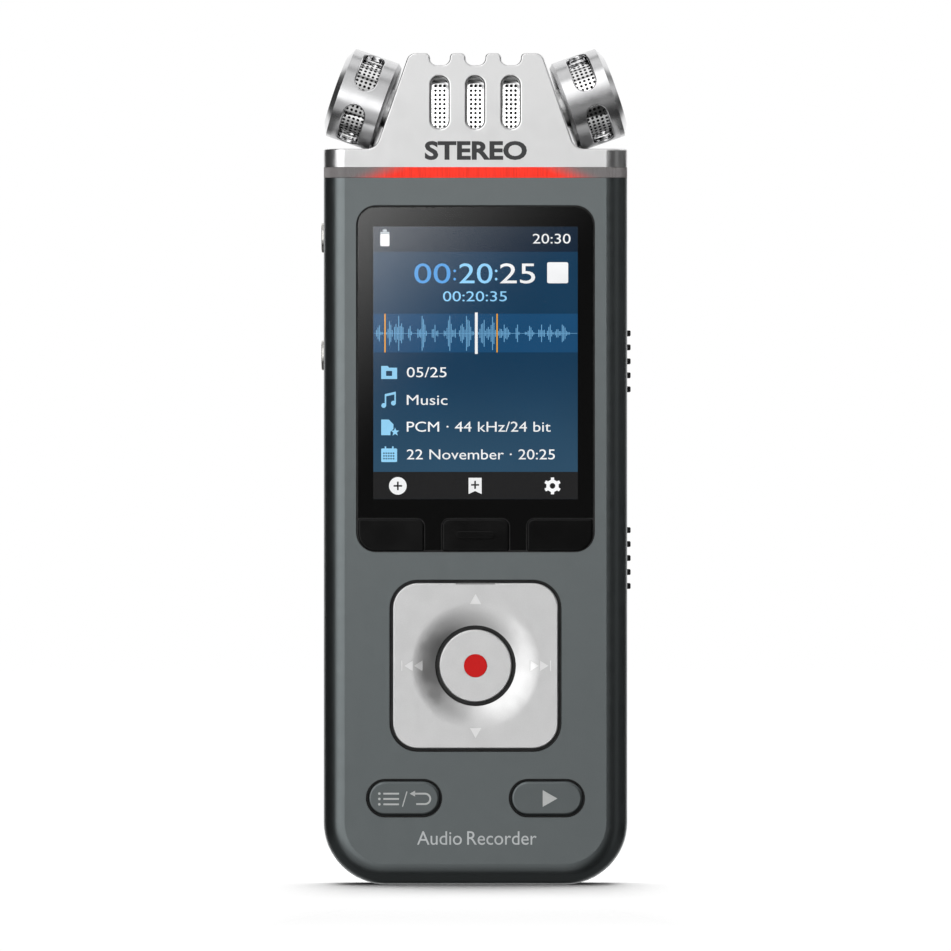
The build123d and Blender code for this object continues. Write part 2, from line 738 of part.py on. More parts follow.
def panel_plate(y0, y1):
    """A plate that fills the display recess, less the soft keys."""
    height = PANEL_TOP - PANEL_BOTTOM - 2 * PANEL_GAP
    width = PANEL_WIDTH - 2 * PANEL_GAP
    middle = (PANEL_TOP + PANEL_BOTTOM) / 2
    plate = slab(0, middle, width, height, PANEL_CORNER - PANEL_GAP, y0, y1)
    return plate - key_notches(y0 - 1, y1 + 1)


def make_display_window():
    return panel_plate(WINDOW_FRONT, LEDGE_FRONT - MASK_THICKNESS)


def make_window_mask():
    mask = panel_plate(LEDGE_FRONT - MASK_THICKNESS, LEDGE_FRONT)
    return mask - slab(0, ACTIVE_Z, ACTIVE_WIDTH + 0.1, ACTIVE_HEIGHT + 0.1, 0.2, -9, -7)


def glass_stack(inset, y0, y1):
    """A plate of the display module, in from the glass's edge by an inset."""
    height = GLASS_TOP - GLASS_BOTTOM - 2 * inset
    return slab(0, (GLASS_TOP + GLASS_BOTTOM) / 2, GLASS_WIDTH - 2 * inset, height, 0.3, y0, y1)


def make_lcd_panel():
    return glass_stack(0, GLASS_FRONT, GLASS_BACK)


def make_lcd_backlight():
    return glass_stack(0.4, GLASS_BACK, BACKLIGHT_BACK)


def make_lcd_frame():
    """The folded metal tray behind the backlight."""
    return glass_stack(0, GLASS_BACK, FRAME_BACK) - glass_stack(0.35, GLASS_BACK - 1, BACKLIGHT_BACK)


def make_lcd_flex():
    return block((-7, FRAME_BACK + 0.1, GLASS_BOTTOM + 1), (7, FRAME_BACK + 0.25, GLASS_BOTTOM + 14))


# --- Keys ---


def key_foot(x, z, width, height, corner, stem_width, stem_height, cap_back):
    """Stem, retaining foot and plunger behind a key cap."""
    foot_front = INNER_FRONT + ASSEMBLY_GAP
    foot_back = foot_front + FOOT_THICKNESS
    stem = slab(x, z, stem_width, stem_height, min(0.4, corner), cap_back, foot_front)
    foot = slab(x, z, width, height, corner, foot_front, foot_back)
    return stem + foot + peg(x, z, PLUNGER_RADIUS, foot_back, PLUNGER_END)


def make_soft_key(x, width, corners):
    cap_back = LEDGE_FRONT - KEY_TRAVEL - ASSEMBLY_GAP
    plane = front_plane(x, cap_back, SOFT_KEY_Z)
    cap = extrude(plane * soft_key_outline(width, corners), cap_back - SOFT_KEY_FRONT)
    cap = fillet(front_edges(cap), 0.25)
    return cap + key_foot(x, SOFT_KEY_Z, FOOT_WIDTH, FOOT_HEIGHT, 0.5, STEM_WIDTH, STEM_HEIGHT, cap_back)


def make_side_soft_key():
    """The left soft key; its low outer corner follows the panel's corner."""
    outer = PANEL_CORNER - PANEL_GAP - 0.2
    return make_soft_key(-SIDE_KEY_X, SIDE_KEY_WIDTH, (outer, 0.3, SOFT_KEY_CORNER, 0.3))


def make_middle_soft_key():
    """The middle soft key, with a raised locating bar."""
    key = make_soft_key(0, MIDDLE_KEY_WIDTH, (0.3, 0.3, SOFT_KEY_CORNER, SOFT_KEY_CORNER))
    bar = slab(0, SOFT_KEY_Z, 5.9, 1.2, 0.59, SOFT_KEY_FRONT - 0.2, SOFT_KEY_FRONT + 0.2)
    return key + fillet(front_edges(bar), 0.15)


def make_pill_key(x):
    cap = slab(x, PILL_Z, PILL_WIDTH, PILL_HEIGHT, PILL_HEIGHT / 2 - 0.01, PILL_FRONT, INNER_FRONT)
    cap = fillet(front_edges(cap), 0.45)
    foot_height = PILL_HEIGHT + 2 * PILL_GAP + 1.2
    foot_width = PILL_WIDTH + 2 * PILL_GAP + 1.2
    corner = foot_height / 2 - 0.01
    return cap + key_foot(x, PILL_Z, foot_width, foot_height, corner, 8, 3, INNER_FRONT - 0.1)


def dish():
    """The shallow round hollow in the middle of the pad, which leaves the pad's face without an edge."""
    inner = RECORD_HOLE_RADIUS - 0.5
    rim = (DISH_RADIUS, NAV_FRONT)
    low = (inner, NAV_FRONT + DISH_CURVE - sqrt(DISH_CURVE**2 - (DISH_RADIUS - inner) ** 2))
    outline = TangentArc(rim, low, tangent=(-1, 0))
    outline += Polyline(low, (0, low[1]), (0, NAV_FRONT - 1), (DISH_RADIUS, NAV_FRONT - 1), rim)
    solid = revolve(make_face(outline), Axis.Y)
    return Pos(0, 0, NAV_Z) * solid


def mark_outlines():
    """The arrows on the pad, from its middle: up, down, and skip marks on the left and right."""
    half = MARK_HALF
    outlines = [
        [(-half - 0.09, 9.22), (half + 0.09, 9.22), (0, 10.85)],
        [(-half - 0.09, -9.27), (half + 0.09, -9.27), (0, -10.9)],
    ]
    for side, bar, outer, inner in ((-1, 11.05, 10.74, 9.3), (1, 11.24, 10.98, 9.54)):
        outlines.append([(side * bar + x, z) for x, z in ((-0.1, -half), (0.1, -half), (0.1, half), (-0.1, half))])
        for apex in (outer, inner):
            base = apex - 1.38
            outlines.append([(side * apex, 0), (side * base, half), (side * base, -half)])
    return outlines


def engraved(pad):
    """The pad with the marks sunk into its face, their floors following its curve."""
    below = Pos(0, MARK_DEPTH, 0) * pad
    for outline in mark_outlines():
        face = make_face(Polyline(*outline, close=True))
        prism = extrude(front_plane(0, NAV_FRONT + 1, NAV_Z) * face, 2)
        pad -= prism - below
    return pad


def nav_plunger_places():
    reach = NAV_PLUNGER_REACH
    return [(reach, NAV_Z), (-reach, NAV_Z), (0, NAV_Z + reach), (0, NAV_Z - reach)]


def make_nav_pad():
    """The square rocker: notched face plate, flange behind the wall, and a plunger under each direction."""
    cap = slab(0, NAV_Z, NAV_SIZE, NAV_SIZE, NAV_CORNER, NAV_FRONT, NAV_FLANGE_BACK)
    cap = fillet(front_edges(cap), NAV_EDGE_RADIUS)
    pad = engraved(cap - dish())
    top = NAV_Z + NAV_SIZE / 2
    pad -= block((-NOTCH_HALF, NAV_FRONT - 1, top - NOTCH_DEPTH), (NOTCH_HALF, NAV_FRONT + 1, top + 1))
    pad += slab(0, NAV_Z, NAV_FLANGE_SIZE, NAV_FLANGE_SIZE, NAV_CORNER + 0.7, NAV_FLANGE_FRONT, NAV_FLANGE_BACK)
    pad -= peg(0, NAV_Z, RECORD_HOLE_RADIUS, -10, -5)
    pad -= peg(0, NAV_Z, NAV_POCKET_RADIUS, NAV_PLATE_BACK, -5)
    for x, z in nav_plunger_places():
        pad += peg(x, z, PLUNGER_RADIUS, NAV_FLANGE_BACK - 0.2, NAV_PLUNGER_END)
    return pad


def make_nav_pivot_ring():
    """The floating ring that the pad rocks on."""
    front = PIVOT_Y - PIVOT_THICKNESS / 2
    back = PIVOT_Y + PIVOT_THICKNESS / 2
    return peg(0, NAV_Z, PIVOT_OUTER, front, back) - peg(0, NAV_Z, PIVOT_INNER, front - 1, back + 1)


def make_record_button():
    stem = peg(0, NAV_Z, RECORD_RADIUS, RECORD_FRONT, RECORD_FLANGE_BACK)
    stem = fillet(front_edges(stem), NAV_EDGE_RADIUS)
    button = stem + peg(0, NAV_Z, RECORD_FLANGE_RADIUS, RECORD_FLANGE_FRONT, RECORD_FLANGE_BACK)
    button += peg(0, NAV_Z, PLUNGER_RADIUS, RECORD_FLANGE_BACK, PLUNGER_END)
    return button - peg(0, NAV_Z, DOT_RADIUS + ASSEMBLY_GAP, -10, RECORD_FRONT + 0.6)


def make_record_dot():
    dot = peg(0, NAV_Z, DOT_RADIUS, RECORD_FRONT - 0.05, RECORD_FRONT + 0.6)
    return fillet(front_edges(dot), 0.05)


# --- Inside ---


def make_main_pcb():
    board = case_prism(BOARD_INSET, BOARD_TOP, BOARD_FRONT, BOARD_BACK)
    for x, z in screw_places():
        board -= block((abs(x) - BOSS_RADIUS - 0.2, -5, z - 1.8), (30, 0, z + 1.8))
        board -= block((-30, -5, z - 1.8), (BOSS_RADIUS + 0.2 - abs(x), 0, z + 1.8))
    return board


def dome_places():
    """Where each key presses on the board."""
    places = nav_plunger_places() + [(0, NAV_Z), (-PILL_X, PILL_Z), (PILL_X, PILL_Z)]
    return places + [(x, SOFT_KEY_Z) for x in (-SIDE_KEY_X, 0, SIDE_KEY_X)]


def make_dome_switches():
    """The snap domes under the keys."""
    domes = []
    for x, z in dome_places():
        dome = peg(x, z, DOME_RADIUS, BOARD_FRONT - DOME_HEIGHT, BOARD_FRONT)
        domes.append(chamfer(front_edges(dome), DOME_HEIGHT - 0.05, 1.0))
    return Compound(children=domes)


def make_dome_sheet():
    """The film that holds the domes in place."""
    sheet = slab(0, 31.5, 37, 46, 2, BOARD_FRONT - 0.12, BOARD_FRONT)
    return sheet - [peg(x, z, DOME_RADIUS + 0.2, -5, -3) for x, z in dome_places()]


def make_chips():
    """Processor, memory, codec, charger and regulator on the back of the board."""
    chips = [(4, 62, 9, 9), (-8, 60, 8, 6), (-3, 90, 5, 5), (8, 40, 4, 4), (-12, 12, 4, 3)]
    solids = []
    for x, z, width, height in chips:
        low = (x - width / 2, BOARD_BACK, z - height / 2)
        solids.append(block(low, (x + width / 2, BOARD_BACK + 0.9, z + height / 2)))
    return Compound(children=solids)


def make_shield_can():
    """The folded tin lid over the radio-quiet part of the board."""
    can = block((3.5, BOARD_BACK, 84), (14, BOARD_BACK + 1.3, 96))
    return can - block((3.7, BOARD_BACK - 1, 84.2), (13.8, BOARD_BACK + 1.1, 95.8))


def make_battery_cell():
    low = (BATTERY_X - BATTERY_WIDTH / 2, BATTERY_FRONT, BATTERY_BOTTOM)
    cell = block(low, (BATTERY_X + BATTERY_WIDTH / 2, BATTERY_BACK, BATTERY_TOP))
    return fillet(cell.edges().filter_by(Axis.Z), 1.5)


def make_battery_pad():
    return block((-14, BATTERY_BACK, 38), (11, INNER_BACK, 67))


def make_speaker_driver():
    """A shallow frame with a magnet can in front of it."""
    frame = peg(0, SPEAKER_Z, SPEAKER_RADIUS, 4.6, SPEAKER_BACK)
    return frame + peg(0, SPEAKER_Z, 5.0, SPEAKER_FRONT, 4.6)


def make_speaker_gasket():
    ring = peg(0, SPEAKER_Z, SPEAKER_RADIUS, SPEAKER_BACK, INNER_BACK)
    return ring - peg(0, SPEAKER_Z, 6.8, SPEAKER_BACK - 1, INNER_BACK + 1)


def make_speaker_mesh():
    return peg(0, SPEAKER_Z, 6.7, INNER_BACK - 0.15, INNER_BACK)


# --- Sides and base ---


def make_jack(z):
    """The socket body on the board, bored for a 3.5 mm plug."""
    start = -INNER_X + ASSEMBLY_GAP
    bore_end = -HALF_WIDTH - COLLAR_PROUD + JACK_DEPTH
    body = side_peg(JACK_Y, z, JACK_BODY_RADIUS, start, bore_end + 1.2)
    return body - side_peg(JACK_Y, z, JACK_BORE, start - 1, bore_end)


def make_collar(z):
    """The metal ring round a socket's mouth."""
    start = -HALF_WIDTH - COLLAR_PROUD
    collar = side_peg(JACK_Y, z, COLLAR_RADIUS, start, -INNER_X + ASSEMBLY_GAP)
    collar = fillet(collar.faces().sort_by(Axis.X)[0].edges(), 0.15)
    return collar - side_peg(JACK_Y, z, JACK_BORE, start - 1, 0)


def make_slide_knob(z):
    """A flush slide with five grip ribs, and the stem that moves the switch."""
    back = HALF_WIDTH - RECESS_DEPTH + 0.05
    front = back + KNOB_PLATE
    half_height = KNOB_HEIGHT / 2
    knob = block((back, -half_height, z - KNOB_LENGTH / 2), (front, half_height, z + KNOB_LENGTH / 2))
    for rib in range(RIB_COUNT):
        middle = z + (rib - (RIB_COUNT - 1) / 2) * RIB_PITCH
        low = (front, -half_height + 0.1, middle - RIB_HEIGHT / 2)
        grip = block(low, (HALF_WIDTH + RIB_PROUD, half_height - 0.1, middle + RIB_HEIGHT / 2))
        knob += fillet(grip.faces().sort_by(Axis.X)[-1].edges(), 0.2)
    return knob + block((20.0, -0.8, z - 1.5), (back, 0.8, z + 1.5))


def make_slide_switch_bodies():
    bodies = [block((17.0, BOARD_BACK, z - 4.5), (19.9, 1.4, z + 4.5)) for z in slide_places()]
    return Compound(children=bodies)


def make_usb_socket():
    """A USB-C shell at the bottom edge of the board."""
    shell = upright_section(USB_WIDTH, USB_THICKNESS, 1.55, 0.1, USB_LENGTH, USB_Y)
    return shell - upright_section(USB_WIDTH - 0.6, USB_THICKNESS - 0.7, 1.25, -1, USB_LENGTH - 1, USB_Y)


def make_usb_tongue():
    return block((-3.35, USB_Y - 0.35, 1.0), (3.35, USB_Y + 0.35, USB_LENGTH - 1))


def make_all():
    """Every node of the recorder, by name."""
    shell = make_case_shell()
    left_key = make_side_soft_key()
    right = {
        "mic_ring": in_ring(ring_body()),
        "mic_cap": make_mic_cap(),
        "mic_mesh": make_mic_mesh(),
        "mic_capsule": make_mic_capsule(),
        "mic_boot": make_mic_boot(),
    }
    nodes = {
        "front_cover": make_front_cover(shell),
        "rear_cover": make_rear_cover(shell),
        "case_screws": make_case_screws(),
        "tripod_insert": make_tripod_insert(),
        "light_band": make_light_band(),
        "mic_head": make_mic_head(),
        "center_mesh": make_center_mesh(),
        "center_cloth": make_center_cloth(),
        "center_mic_capsule": make_center_mic_capsule(),
        "center_mic_boot": make_center_mic_boot(),
        "led_board": make_led_board(),
        "status_leds": make_status_leds(),
        "mic_flex": make_mic_flex(),
        "display_window": make_display_window(),
        "window_mask": make_window_mask(),
        "lcd_panel": make_lcd_panel(),
        "lcd_backlight": make_lcd_backlight(),
        "lcd_frame": make_lcd_frame(),
        "lcd_flex": make_lcd_flex(),
        "soft_key_left": left_key,
        "soft_key_center": make_middle_soft_key(),
        "soft_key_right": mirrored(left_key),
        "menu_key": make_pill_key(-PILL_X),
        "play_key": make_pill_key(PILL_X),
        "nav_pad": make_nav_pad(),
        "nav_pivot_ring": make_nav_pivot_ring(),
        "record_button": make_record_button(),
        "record_dot": make_record_dot(),
        "main_pcb": make_main_pcb(),
        "dome_switches": make_dome_switches(),
        "dome_sheet": make_dome_sheet(),
        "chips": make_chips(),
        "shield_can": make_shield_can(),
        "battery_cell": make_battery_cell(),
        "battery_pad": make_battery_pad(),
        "speaker_driver": make_speaker_driver(),
        "speaker_gasket": make_speaker_gasket(),
        "speaker_mesh": make_speaker_mesh(),
        "headphone_jack": make_jack(HEADPHONE_Z),
        "mic_jack": make_jack(MIC_JACK_Z),
        "headphone_collar": make_collar(HEADPHONE_Z),
        "mic_collar": make_collar(MIC_JACK_Z),
        "power_switch_knob": make_slide_knob(POWER_SWITCH_Z),
        "hold_switch_knob": make_slide_knob(HOLD_SWITCH_Z),
        "slide_switch_bodies": make_slide_switch_bodies(),
        "usb_socket": make_usb_socket(),
        "usb_tongue": make_usb_tongue(),
    }
    for name, shape in right.items():
        nodes[f"{name}_right"] = shape
        nodes[f"{name}_left"] = mirrored(shape)
    return nodes


os.makedirs("parts", exist_ok=True)
for node_name, node_shape in make_all().items():
    export_step(node_shape, f"parts/{node_name}.step")
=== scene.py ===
import math

import bmesh
import bpy
from mathutils import Matrix, Vector
from mathutils.bvhtree import BVHTree


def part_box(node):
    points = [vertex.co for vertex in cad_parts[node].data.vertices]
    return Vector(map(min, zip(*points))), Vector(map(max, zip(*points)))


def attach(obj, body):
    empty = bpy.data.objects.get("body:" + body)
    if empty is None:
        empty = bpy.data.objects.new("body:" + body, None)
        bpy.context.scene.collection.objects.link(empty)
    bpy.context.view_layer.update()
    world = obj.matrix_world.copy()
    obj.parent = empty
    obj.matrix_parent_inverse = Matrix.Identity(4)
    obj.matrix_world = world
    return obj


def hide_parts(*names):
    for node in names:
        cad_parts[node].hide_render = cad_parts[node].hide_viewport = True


# Handheld stereo voice recorder. Lengths named here are in millimetres, in the frame of the CAD model:
# X to the right, Y from the display side to the back, Z up. Meshes are written in metres.
MM = 0.001

# Camera and studio
LENS = 700.0
SENSOR = 36.0
VIEW_WIDTH = 142.45  # width of the picture at the front of the case
EYE_HEIGHT = 61.3
FLOOR_RADIUS = 3000.0
FLOOR_DROP = 0.02  # gap under the base
FLOOR_CLEAR = (150.0, 300.0)  # radii between which the floor turns to plain white light
FLOOR_BESIDE = (17.0, 32.0)  # distances to either side between which it does too
FLOOR_GREY = 0.3
FLOOR_WHITE = 1.02
TOP_LIGHT = (0.0, 500.0, 1100.0)
TOP_LIGHT_SIZE = 900.0
TOP_LIGHT_WATTS = 60.0

# Softboxes seen in reflections: azimuth range, elevation range, soft edge (degrees) and level.
# Azimuth 0 is the camera's side and grows to the right.
SOFTBOXES = (
    ((-50, 0), (-12, 62), 9, 1.85),
    ((4, 62), (20, 60), 12, 0.75),
    ((-50, 12), (-42, -10), 10, 0.55),
    ((50, 70), (-25, 20), 10, 0.2),
    ((82, 132), (14, 58), 10, 1.35),
    ((-180, 180), (66, 91), 8, 0.95),
    ((60, 132), (-60, -16), 10, 0.12),
    ((-132, -70), (-60, -16), 10, 0.12),
    ((138, 168), (-52, -30), 10, 0.3),
    ((-168, -138), (-52, -30), 10, 0.3),
    ((-180, 180), (-91, -60), 10, 0.1),
)
BACKDROP = (142, 181, -32, 62, 10, 1.05)  # the same on both sides: azimuths, elevations, edge, level
AMBIENT = 0.035

# Dark card round the lens, brighter towards its upper left corner; the glass mirrors it
CARD_HALF = 2.5  # degrees
CARD_RISE = 0.6  # degrees
CARD_DARK = 0.15
CARD_LEVEL = 3.25
CARD_CAP = 1.1
CARD_CURVE = 2.2
CARD_FADE = 40.0  # millimetres right and down on the glass over which its light dies away
CARD_CORNER = (-16.0, 100.3)  # where the glass is brightest

# Painted shade on the lacquer of the case and the pill keys, darker towards the bottom: its colour is
# scaled by foot at the lower height and by top at the upper one
PAINTED_SHADE_SPAN = (10.0, 105.0)
CASE_SHADE_FOOT = 0.79
PILL_SHADE_FOOT = 0.72
PAINTED_SHADE_TOP = 1.02
EDGE_SOFT = 0.04  # width of the change from lacquer to the black that paints shade in gaps
# The recess's walls are painted black as the shade round the window
RECESS_GAP = 0.4  # how far the recess's walls reach beyond the window
RECESS_DEPTH = (0.06, 2.0)
PATCH_GRAINS = 14  # grains of a finish across one patch of its uneven roughness
WAVE_LENGTH = math.pi / 10  # one wave of Blender's wave texture at scale 1

# Display
SCREEN_Z = 78.175  # middle of the lit area, which is the origin of the display's graphics
SCREEN_HALF = (15.3, 20.4)
STATUS_STRIP = (16.65, 20.4)
WAVE_STRIP = (1.58, 7.37)
KEY_STRIP = (-20.4, -16.33)
STRIP_SOFT = 0.04
SCREEN_SOFT = 0.02
INK = 0.02  # thickness of a printed or displayed mark
SINK = 0.005  # how far a mark reaches into the surface below it

# Perforated metal
HOLE_PITCH = 0.6663
HOLE_RADIUS = 0.23
SHEET = 0.2
SLOT_COLUMNS = 8  # columns of holes from one slot's middle to the next
PUNCHED = (112.9, 119.7)  # heights between which the sheet behind the slots has holes
GRILLE_COLUMNS = 25
GRILLE_BEND = 2.0  # outer radius of the sheet's two bends
RIM_REACH = (1.75, 1.85)  # the polish round a slot dies away between these distances from its middle
RIM_SPREAD = (7.1, 7.3)  # and between these distances from the head's middle
RIM_HEIGHTS = (112.6, 121.6)

# Ring microphones, as in the CAD model
RING_CENTRE = (16.95, 0.0, 117.75)
RING_TILT = math.radians(19.2)
RING_TOE = math.radians(2.5)
RING_MESH = (5.6, -3.02, 3.2)  # inner radius, and the ends along the ring's axis

# Light band
BAND_RIBS = 540
BAND_LENGTH = 121.0
BAND_RADIUS = 3.15
RIB_STEPS = (0, 1, 1, 0)  # depth along one rib, in shares of RIB_DEPTH
RIB_DEPTH = 0.06
BAND_WALL = 1.4
BAND_EDGE = 0.08
BAND_LIT = (18.8, 16.0)  # half width of the lit stretch at the band's lower and upper edge
BAND_FADE = (-7.0, 1.0)  # distances from there between which its light dies away

# Navigation pad and pill keys
PAD_Z = 32.8
PILL = (10.7, 12.97)
MARK_HALF = 0.84
MARK_LENGTH = 1.38
MARK_INSET = 0.04
MARK_PROUD = 0.015
KEY_SKIRT = -8.35  # the keys are black from this depth back: their bare moulding, which also paints the shade in the gaps round them


def srgb(red, green, blue):
    """A colour given as 0 to 255 display values, as linear red, green, blue and alpha."""
    channels = []
    for value in (red, green, blue):
        share = value / 255
        channels.append(share / 12.92 if share <= 0.04045 else ((share + 0.055) / 1.055) ** 2.4)
    return (*channels, 1.0)


class Graph:
    """Adds nodes to a node tree and links them."""

    def __init__(self, tree):
        self.tree = tree

    def add(self, kind, **settings):
        node = self.tree.nodes.new(kind)
        for name, value in settings.items():
            setattr(node, name, value)
        return node

    def plug(self, value, socket):
        if isinstance(value, bpy.types.NodeSocket):
            self.tree.links.new(value, socket)
        else:
            socket.default_value = value

    def fill(self, node, inputs):
        for name, value in inputs.items():
            self.plug(value, node.inputs[name])

    def math(self, operation, first, second=0.0):
        node = self.add("ShaderNodeMath", operation=operation)
        self.plug(first, node.inputs[0])
        self.plug(second, node.inputs[1])
        return node.outputs[0]

    def ramp(self, value, low, high, start=0.0, end=1.0):
        """start below low, end above high, and a smooth change between them."""
        node = self.add("ShaderNodeMapRange", interpolation_type="SMOOTHSTEP")
        self.fill(node, {"Value": value, "From Min": low, "From Max": high, "To Min": start, "To Max": end})
        return node.outputs[0]

    def times(self, first, second):
        return self.math("MULTIPLY", first, second)

    def without(self, share):
        return self.math("SUBTRACT", 1.0, share)

    def absolute(self, value):
        return self.math("ABSOLUTE", value)

    def band(self, value, low, high, soft):
        """1 between low and high, falling smoothly to 0 across soft at each end."""
        rise = self.ramp(value, low - soft / 2, low + soft / 2)
        fall = self.ramp(value, high - soft / 2, high + soft / 2, 1.0, 0.0)
        return self.times(rise, fall)

    def mix(self, factor, first, second):
        node = self.add("ShaderNodeMix", data_type="RGBA")
        self.fill(node, {"Factor": factor, "A": first, "B": second})
        return node.outputs["Result"]

    def place(self):
        """Object coordinates, which are the CAD model's frame in metres."""
        return self.add("ShaderNodeTexCoord").outputs["Object"]

    def axes(self, vector):
        split = self.add("ShaderNodeSeparateXYZ")
        self.plug(vector, split.inputs[0])
        return split.outputs

    def noise(self, grain, detail=3.0, stretch=(1, 1, 1)):
        """Noise whose features are grain millimetres across, drawn out along an axis by stretch."""
        mapping = self.add("ShaderNodeMapping")
        self.fill(mapping, {"Vector": self.place(), "Scale": [1 / s for s in stretch]})
        node = self.add("ShaderNodeTexNoise")
        self.fill(node, {"Vector": mapping.outputs[0], "Scale": 1 / (grain * MM), "Detail": detail})
        return node.outputs["Fac"]

    def uneven(self, grain, low, high, detail=3.0, stretch=(1, 1, 1)):
        """A value that wanders from low to high in patches grain millimetres across."""
        return self.ramp(self.noise(grain, detail, stretch), 0.3, 0.7, low, high)

    def waves(self, period, **settings):
        """A wave texture with one wave every period millimetres."""
        node = self.add("ShaderNodeTexWave", **settings)
        self.fill(node, {"Vector": self.place(), "Scale": WAVE_LENGTH / (period * MM)})
        return node

    def bump(self, height, depth):
        """A bump of depth millimetres."""
        node = self.add("ShaderNodeBump")
        self.fill(node, {"Strength": 1.0, "Distance": depth * MM, "Height": height})
        return node.outputs["Normal"]


# Materials

def shader(name, color, metallic, roughness, ior=1.5):
    """A new material with one Principled shader. Returns its graph and the shader."""
    material = bpy.data.materials.new(name)
    material.use_nodes = True
    material.node_tree.nodes.clear()
    graph = Graph(material.node_tree)
    node = graph.add("ShaderNodeBsdfPrincipled")
    graph.fill(node, {"Base Color": color, "Metallic": metallic, "Roughness": roughness, "IOR": ior})
    output = graph.add("ShaderNodeOutputMaterial")
    graph.plug(node.outputs[0], output.inputs["Surface"])
    return material, graph, node


def principled(material):
    return material.node_tree.nodes["Principled BSDF"]


def shade(color, factor):
    return (*[channel * factor for channel in color[:3]], 1.0)


def textured(name, color, metallic, roughness, grain, depth, tint=0.06, spread=0.06, ior=1.5,
             stretch=(1, 1, 1)):
    """A finish with fine bumps, and with colour and roughness that vary a little."""
    material, graph, node = shader(name, color, metallic, roughness, ior)
    fine = graph.noise(grain, 4.0, stretch)
    spotted = graph.mix(fine, shade(color, 1 - tint), shade(color, 1 + tint))
    patches = graph.uneven(grain * PATCH_GRAINS, roughness - spread, roughness + spread, 2.0)
    graph.fill(node, {"Base Color": spotted, "Roughness": patches, "Normal": graph.bump(fine, depth)})
    return material


def polished(material, edge, roughness):
    """Lowers the roughness of a textured material where edge is 1."""
    graph = Graph(material.node_tree)
    socket = principled(material).inputs["Roughness"]
    blasted = socket.links[0].from_socket
    kept = graph.times(blasted, graph.without(edge))
    graph.plug(graph.math("ADD", kept, graph.times(edge, roughness)), socket)


def bare_black_and_shade(material, graph, share):
    """Turns a painted material to flat black where share is 1: painted shade in gaps, and behind a key's cap
    also its bare moulding.
    """
    color, metal = (principled(material).inputs[name] for name in ("Base Color", "Metallic"))
    graph.plug(graph.mix(share, color.links[0].from_socket, srgb(14, 14, 14)), color)
    graph.plug(graph.times(graph.without(share), metal.default_value), metal)
    return material


def black_skirt_and_shade(material):
    """A key's material, black behind its cap: partly its bare moulding, partly painted shade in the gap round
    it.
    """
    graph = Graph(material.node_tree)
    depth = graph.axes(graph.place())["Y"]
    skirt_and_shade = graph.ramp(depth, (KEY_SKIRT - EDGE_SOFT / 2) * MM, (KEY_SKIRT + EDGE_SOFT / 2) * MM)
    return bare_black_and_shade(material, graph, skirt_and_shade)


def recess_painted_shade(material):
    """The case's material with painted shade: black on the walls of the recess that holds the display window.
    """
    graph = Graph(material.node_tree)
    place = graph.axes(graph.place())
    low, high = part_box("display_window")
    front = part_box("front_cover")[0].y
    gap, soft = RECESS_GAP * MM, EDGE_SOFT * MM
    start, end = (front + depth * MM for depth in RECESS_DEPTH)
    across = graph.band(place["X"], low.x - gap, high.x + gap, soft)
    tall = graph.band(place["Z"], low.z - gap, high.z + gap, soft)
    deep = graph.band(place["Y"], start, end, soft)
    shaded_walls = graph.times(graph.times(across, tall), deep)
    return bare_black_and_shade(material, graph, shaded_walls)


def slate_lacquer(name, foot):
    """Satin slate-grey metallic lacquer with painted shade: its lower end is darker by the factor foot."""
    material = textured(name, srgb(111, 117, 118), 0.93, 0.33, 0.16, 0.0018, 0.05, 0.02)
    graph = Graph(material.node_tree)
    base = principled(material).inputs["Base Color"]
    height = graph.axes(graph.place())["Z"]
    # painted shade: the colour darkens from the top down to the foot
    level = graph.ramp(height, PAINTED_SHADE_SPAN[0] * MM, PAINTED_SHADE_SPAN[1] * MM, foot, PAINTED_SHADE_TOP)
    node = graph.add("ShaderNodeVectorMath", operation="SCALE")
    graph.plug(base.links[0].from_socket, node.inputs[0])
    graph.plug(level, node.inputs["Scale"])
    graph.plug(node.outputs[0], base)
    return material


def case_paint():
    # painted shade: darker towards the foot, and black on the walls of the window's recess
    return recess_painted_shade(slate_lacquer("case_paint", CASE_SHADE_FOOT))


def pill_paint():
    """The case's lacquer on the caps of the pill keys, with deeper painted shade towards the foot."""
    return black_skirt_and_shade(slate_lacquer("pill_paint", PILL_SHADE_FOOT))


def head_metal():
    """Bead-blasted aluminium with polished rims round the slots."""
    material = textured("head_metal", srgb(224, 224, 224), 1.0, 0.33, 0.12, 0.0015, 0.03, 0.03)
    graph = Graph(material.node_tree)
    normal = graph.axes(graph.add("ShaderNodeNewGeometry").outputs["Normal"])
    edge = graph.band(graph.absolute(normal["Y"]), 0.2, 0.94, 0.06)
    place = graph.axes(graph.place())
    from_slot = graph.math("PINGPONG", place["X"], SLOT_COLUMNS * HOLE_PITCH / 2 * MM)
    near = graph.ramp(from_slot, RIM_REACH[0] * MM, RIM_REACH[1] * MM, 1.0, 0.0)
    inside = graph.ramp(graph.absolute(place["X"]), RIM_SPREAD[0] * MM, RIM_SPREAD[1] * MM, 1.0, 0.0)
    around = graph.times(near, inside)
    tall = graph.band(place["Z"], RIM_HEIGHTS[0] * MM, RIM_HEIGHTS[1] * MM, 0.2 * MM)
    polished(material, graph.times(edge, graph.times(around, tall)), 0.14)
    return material


